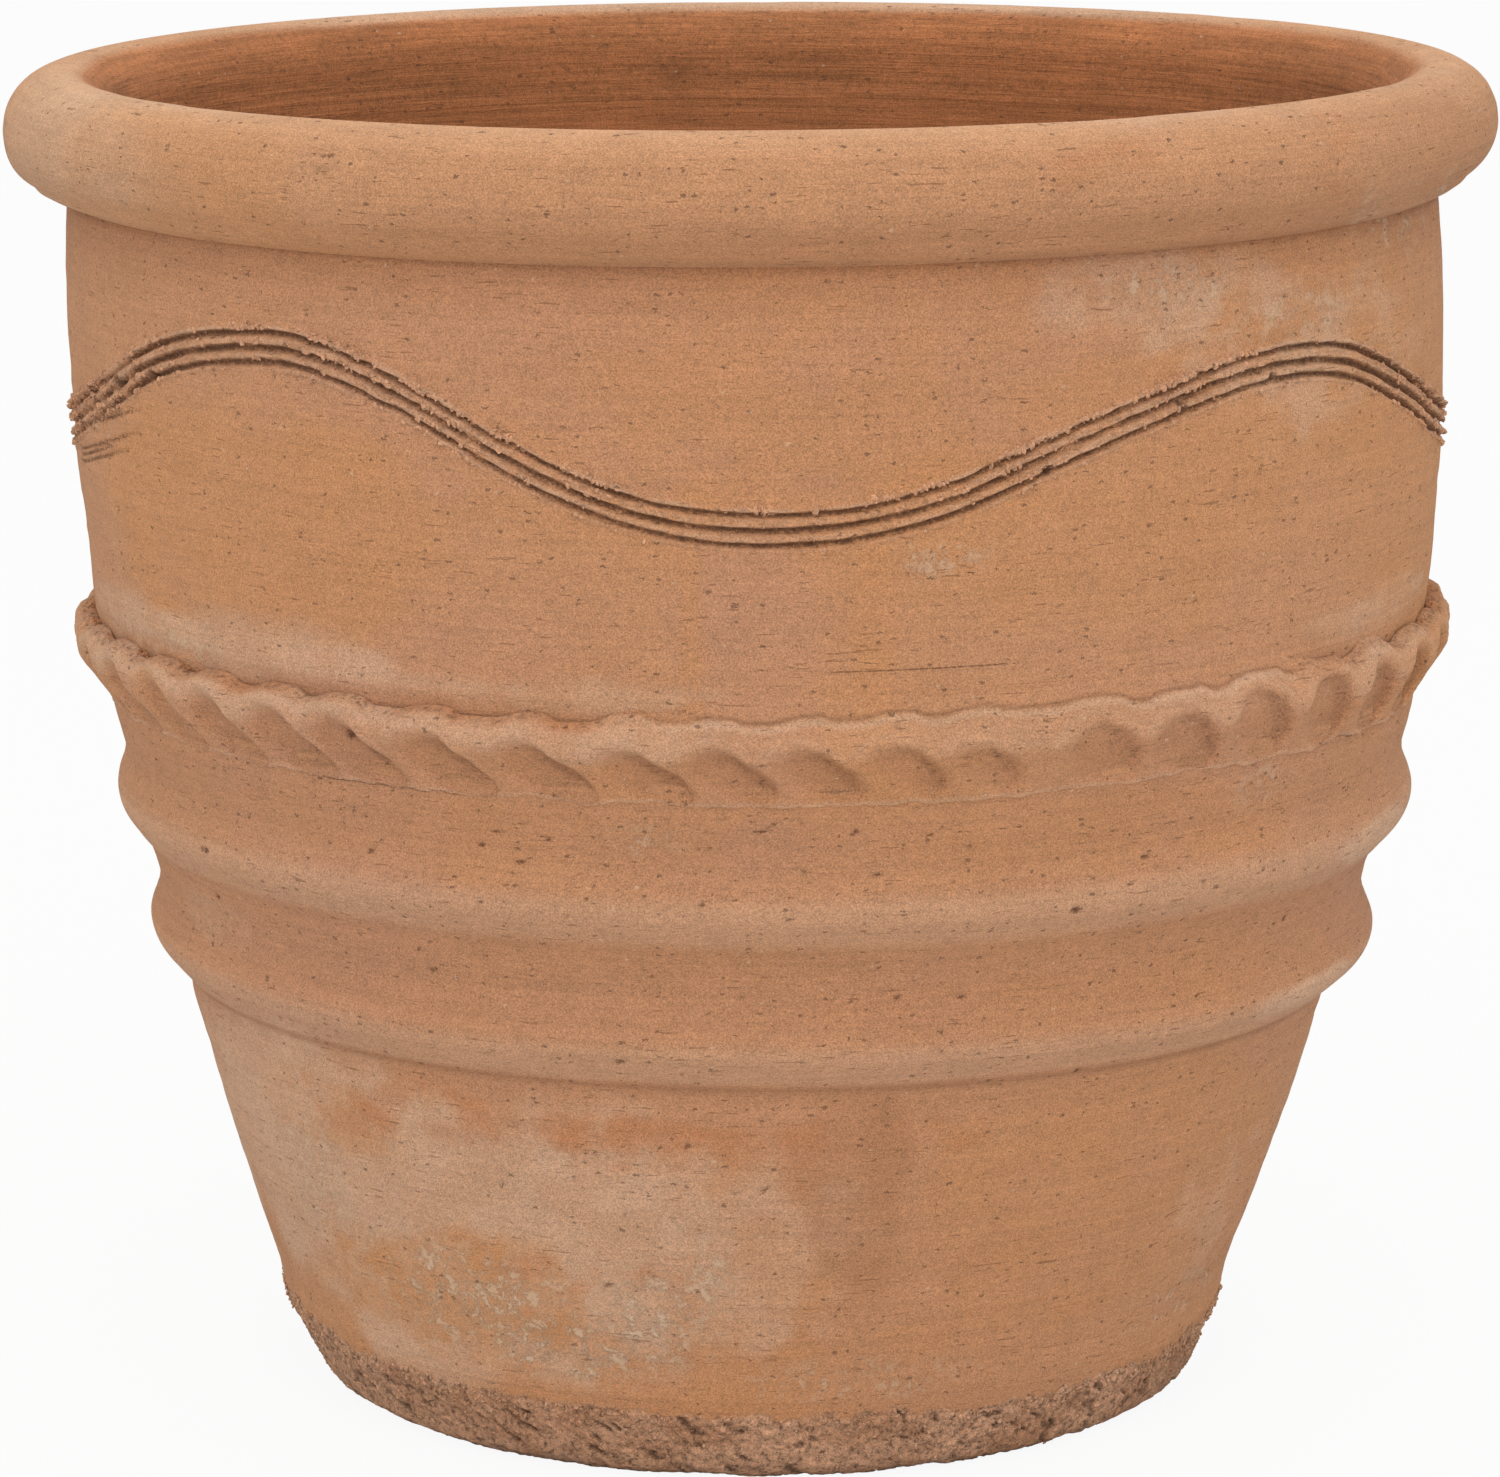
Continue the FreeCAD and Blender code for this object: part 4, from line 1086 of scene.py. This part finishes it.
def strewn_crumbs(name, points, torn, colour, smallest, largest, seed, material):
    """A piece of crumbs stuck to the skin at some of the points, as one plain mesh."""
    guide_mesh = bpy.data.meshes.new(f"{name}_guide")
    guide_mesh.from_pydata(points.tolist(), [], [])
    mark_points(guide_mesh, "torn", torn)
    mark_points(guide_mesh, "clay_colour", colour)
    mark_points(guide_mesh, "rawness", np.full(len(points), 0.4))
    guide = linked(f"{name}_guide", guide_mesh)
    tree = crumb_tree(material)
    modifier = guide.modifiers.new("strewn", "NODES")
    modifier.node_group = tree
    inputs = {"Smallest": smallest * MM, "Largest": largest * MM, "Seed": seed}
    for item in tree.interface.items_tree:
        if item.in_out == "INPUT" and item.name in inputs:
            modifier[item.identifier] = inputs[item.name]
    bpy.context.view_layer.update()
    depsgraph = bpy.context.evaluated_depsgraph_get()
    mesh = bpy.data.meshes.new_from_object(guide.evaluated_get(depsgraph))
    mesh.name = name
    bpy.data.objects.remove(guide)
    bpy.data.meshes.remove(guide_mesh)
    bpy.data.node_groups.remove(tree)
    piece = linked(name, mesh)
    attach(piece, "root")


def make_wave_crumbs():
    """Crumbs along the edges of the comb's grooves."""
    dice = np.random.default_rng(5)
    count = 2600
    offsets = (7.1, 6.2, 3.0, 1.8, -2.7, -6.3)
    angle = np.tile(np.linspace(-math.pi, math.pi, count, endpoint=False), len(offsets))
    offset = np.repeat(offsets, count)
    weight = np.repeat((1.0, 1.0, 0.55, 0.4, 0.5, 0.4), count)
    angle = (angle + dice.normal(0, 0.002, angle.shape))[:, None]
    up = wave_height(angle) + offset[:, None] + dice.normal(0, 0.4, angle.shape)
    relief = combing(angle, up)[0]
    points = placed(angle, skin(angle, up) + relief + 0.1, up)[:, 0]
    clumps = ease(-0.3, 0.4, rugged(angle, up, 9, 123))[:, 0]
    torn = weight * 1.2 * clumps * np.clip(tornness(angle[:, 0]) - 0.05, 0, 1)
    colour = mixed(skin_colour(angle, up), "raw", 0.7 + 0 * up)[:, 0]
    strewn_crumbs("wave_crumbs", points, torn, colour, 0.35, 1.2, 3, WALL_CLAY)


def make_rope_crumbs():
    """Crumbs in the crease over the rope."""
    dice = np.random.default_rng(6)
    count = 2600
    angle = dice.uniform(-math.pi, math.pi, (count, 1))
    up = 268.4 + dice.normal(0, 0.4, (count, 1))
    points = placed(angle, smooth_line(SKIN_OUTLINE, up) + dice.uniform(0.2, 2.6, (count, 1)), up)[:, 0]
    degrees = np.degrees(angle[:, 0])
    torn = 0.06 + 0.45 * ease(-38, -56, degrees) * ease(-105, -75, degrees)
    torn = torn + 0.2 * ease(140, 160, np.abs(degrees))
    colour = mixed(skin_colour(angle, up), "rust", 0.55 + 0 * up)[:, 0]
    strewn_crumbs("rope_crumbs", points, torn, colour, 0.25, 0.7, 4, BAND_CLAY)


def make_foot_crumbs():
    """Crumbs and torn scraps along the edge of the rough foot."""
    dice = np.random.default_rng(7)
    count = 3600
    angle = dice.uniform(-math.pi, math.pi, (count, 1))
    up = np.maximum(foot_line(angle) - dice.exponential(4.5, (count, 1)) + 0.5, 1.5)
    points = placed(angle, skin(angle, up) + 0.15, up)[:, 0]
    torn = 0.6 + 0 * angle[:, 0]
    colour = mixed(skin_colour(angle, up), "pale", 0.35 + 0 * up)[:, 0]
    strewn_crumbs("foot_crumbs", points, torn, colour, 0.35, 0.95, 5, FOOT_CLAY)


def make_camera():
    """The photo's viewpoint: low and far, a little over two metres in front."""
    data = bpy.data.cameras.new("camera")
    data.sensor_width = 36
    data.lens = 154.71
    camera = linked("camera", data)
    camera.location = (0, -2.1645, 0.6503)
    looks_down = 11.307
    camera.rotation_euler = (math.radians(90 - looks_down), 0, 0)
    bpy.context.scene.camera = camera


def make_floor():
    """A pale floor that the camera sees nearly white, and that keeps the pot's shadow."""
    half = 7
    mesh = bpy.data.meshes.new("floor")
    mesh.from_pydata([(-half, -half, 0), (half, -half, 0), (half, half, 0), (-half, half, 0)], [],
                     [(0, 1, 2, 3)])
    material = bpy.data.materials.new("pale_floor")
    material.use_nodes = True
    tree = material.node_tree
    add = node_maker(tree)
    matt = tree.nodes["Principled BSDF"]
    connect(tree, matt, {"Base Color": (0.78, 0.77, 0.76, 1), "Roughness": 0.9})
    glow = add("ShaderNodeEmission", {"Strength": 1})
    camera_ray = add("ShaderNodeLightPath").outputs["Is Camera Ray"]
    share = add("ShaderNodeMath", {0: camera_ray, 1: 0.92}, operation="MULTIPLY")
    blend = add("ShaderNodeMixShader", {0: share.outputs[0], 1: matt.outputs[0], 2: glow.outputs[0]})
    connect(tree, tree.nodes["Material Output"], {"Surface": blend.outputs[0]})
    mesh.materials.append(material)
    linked("floor", mesh)


def make_light():
    """Even sky light, white to the camera, with a large soft lamp in front and one above."""
    world = bpy.data.worlds.new("studio")
    world.use_nodes = True
    bpy.context.scene.world = world
    tree = world.node_tree
    add = node_maker(tree)
    white = (1, 1, 1, 1)
    sky = tree.nodes["Background"]
    connect(tree, sky, {"Color": white, "Strength": 0.8})
    backdrop = add("ShaderNodeBackground", {"Color": white})
    path = add("ShaderNodeLightPath").outputs
    seen = add("ShaderNodeMath", {0: path["Is Camera Ray"], 1: path["Is Glossy Ray"]}, operation="MAXIMUM")
    blend = add("ShaderNodeMixShader", {0: seen.outputs[0], 1: sky.outputs[0], 2: backdrop.outputs[0]})
    connect(tree, tree.nodes["World Output"], {"Surface": blend.outputs[0]})
    for name, place, size, power in (("key", (0.0, -2.2, 1.9), 2.4, 26), ("top", (0.0, 0.1, 2.6), 2.2, 8)):
        data = bpy.data.lights.new(name, "AREA")
        data.shape = "DISK"
        data.size = size
        data.energy = power
        lamp = linked(name, data)
        lamp.location = place
        aim = np.array((0, 0, 0.25)) - np.array(place)
        tip = math.atan2(math.hypot(aim[0], aim[1]), -aim[2])
        lamp.rotation_euler = (tip, 0, math.atan2(aim[1], aim[0]) - math.pi / 2)


def colour_management():
    """Plain colours, as they are lit."""
    bpy.context.scene.view_settings.view_transform = "Standard"


make_camera()
make_light()
make_floor()
colour_management()
make_base_slab()
make_corner_coil()
make_lower_wall()
make_waist_wall()
make_shoulder_wall()
make_upper_wall()
make_plain_band("lower_plain_band", *LOWER_BAND)
make_plain_band("upper_plain_band", *UPPER_BAND)
make_rope_band()
make_rim_roll()
make_wave_crumbs()
make_rope_crumbs()
make_foot_crumbs()
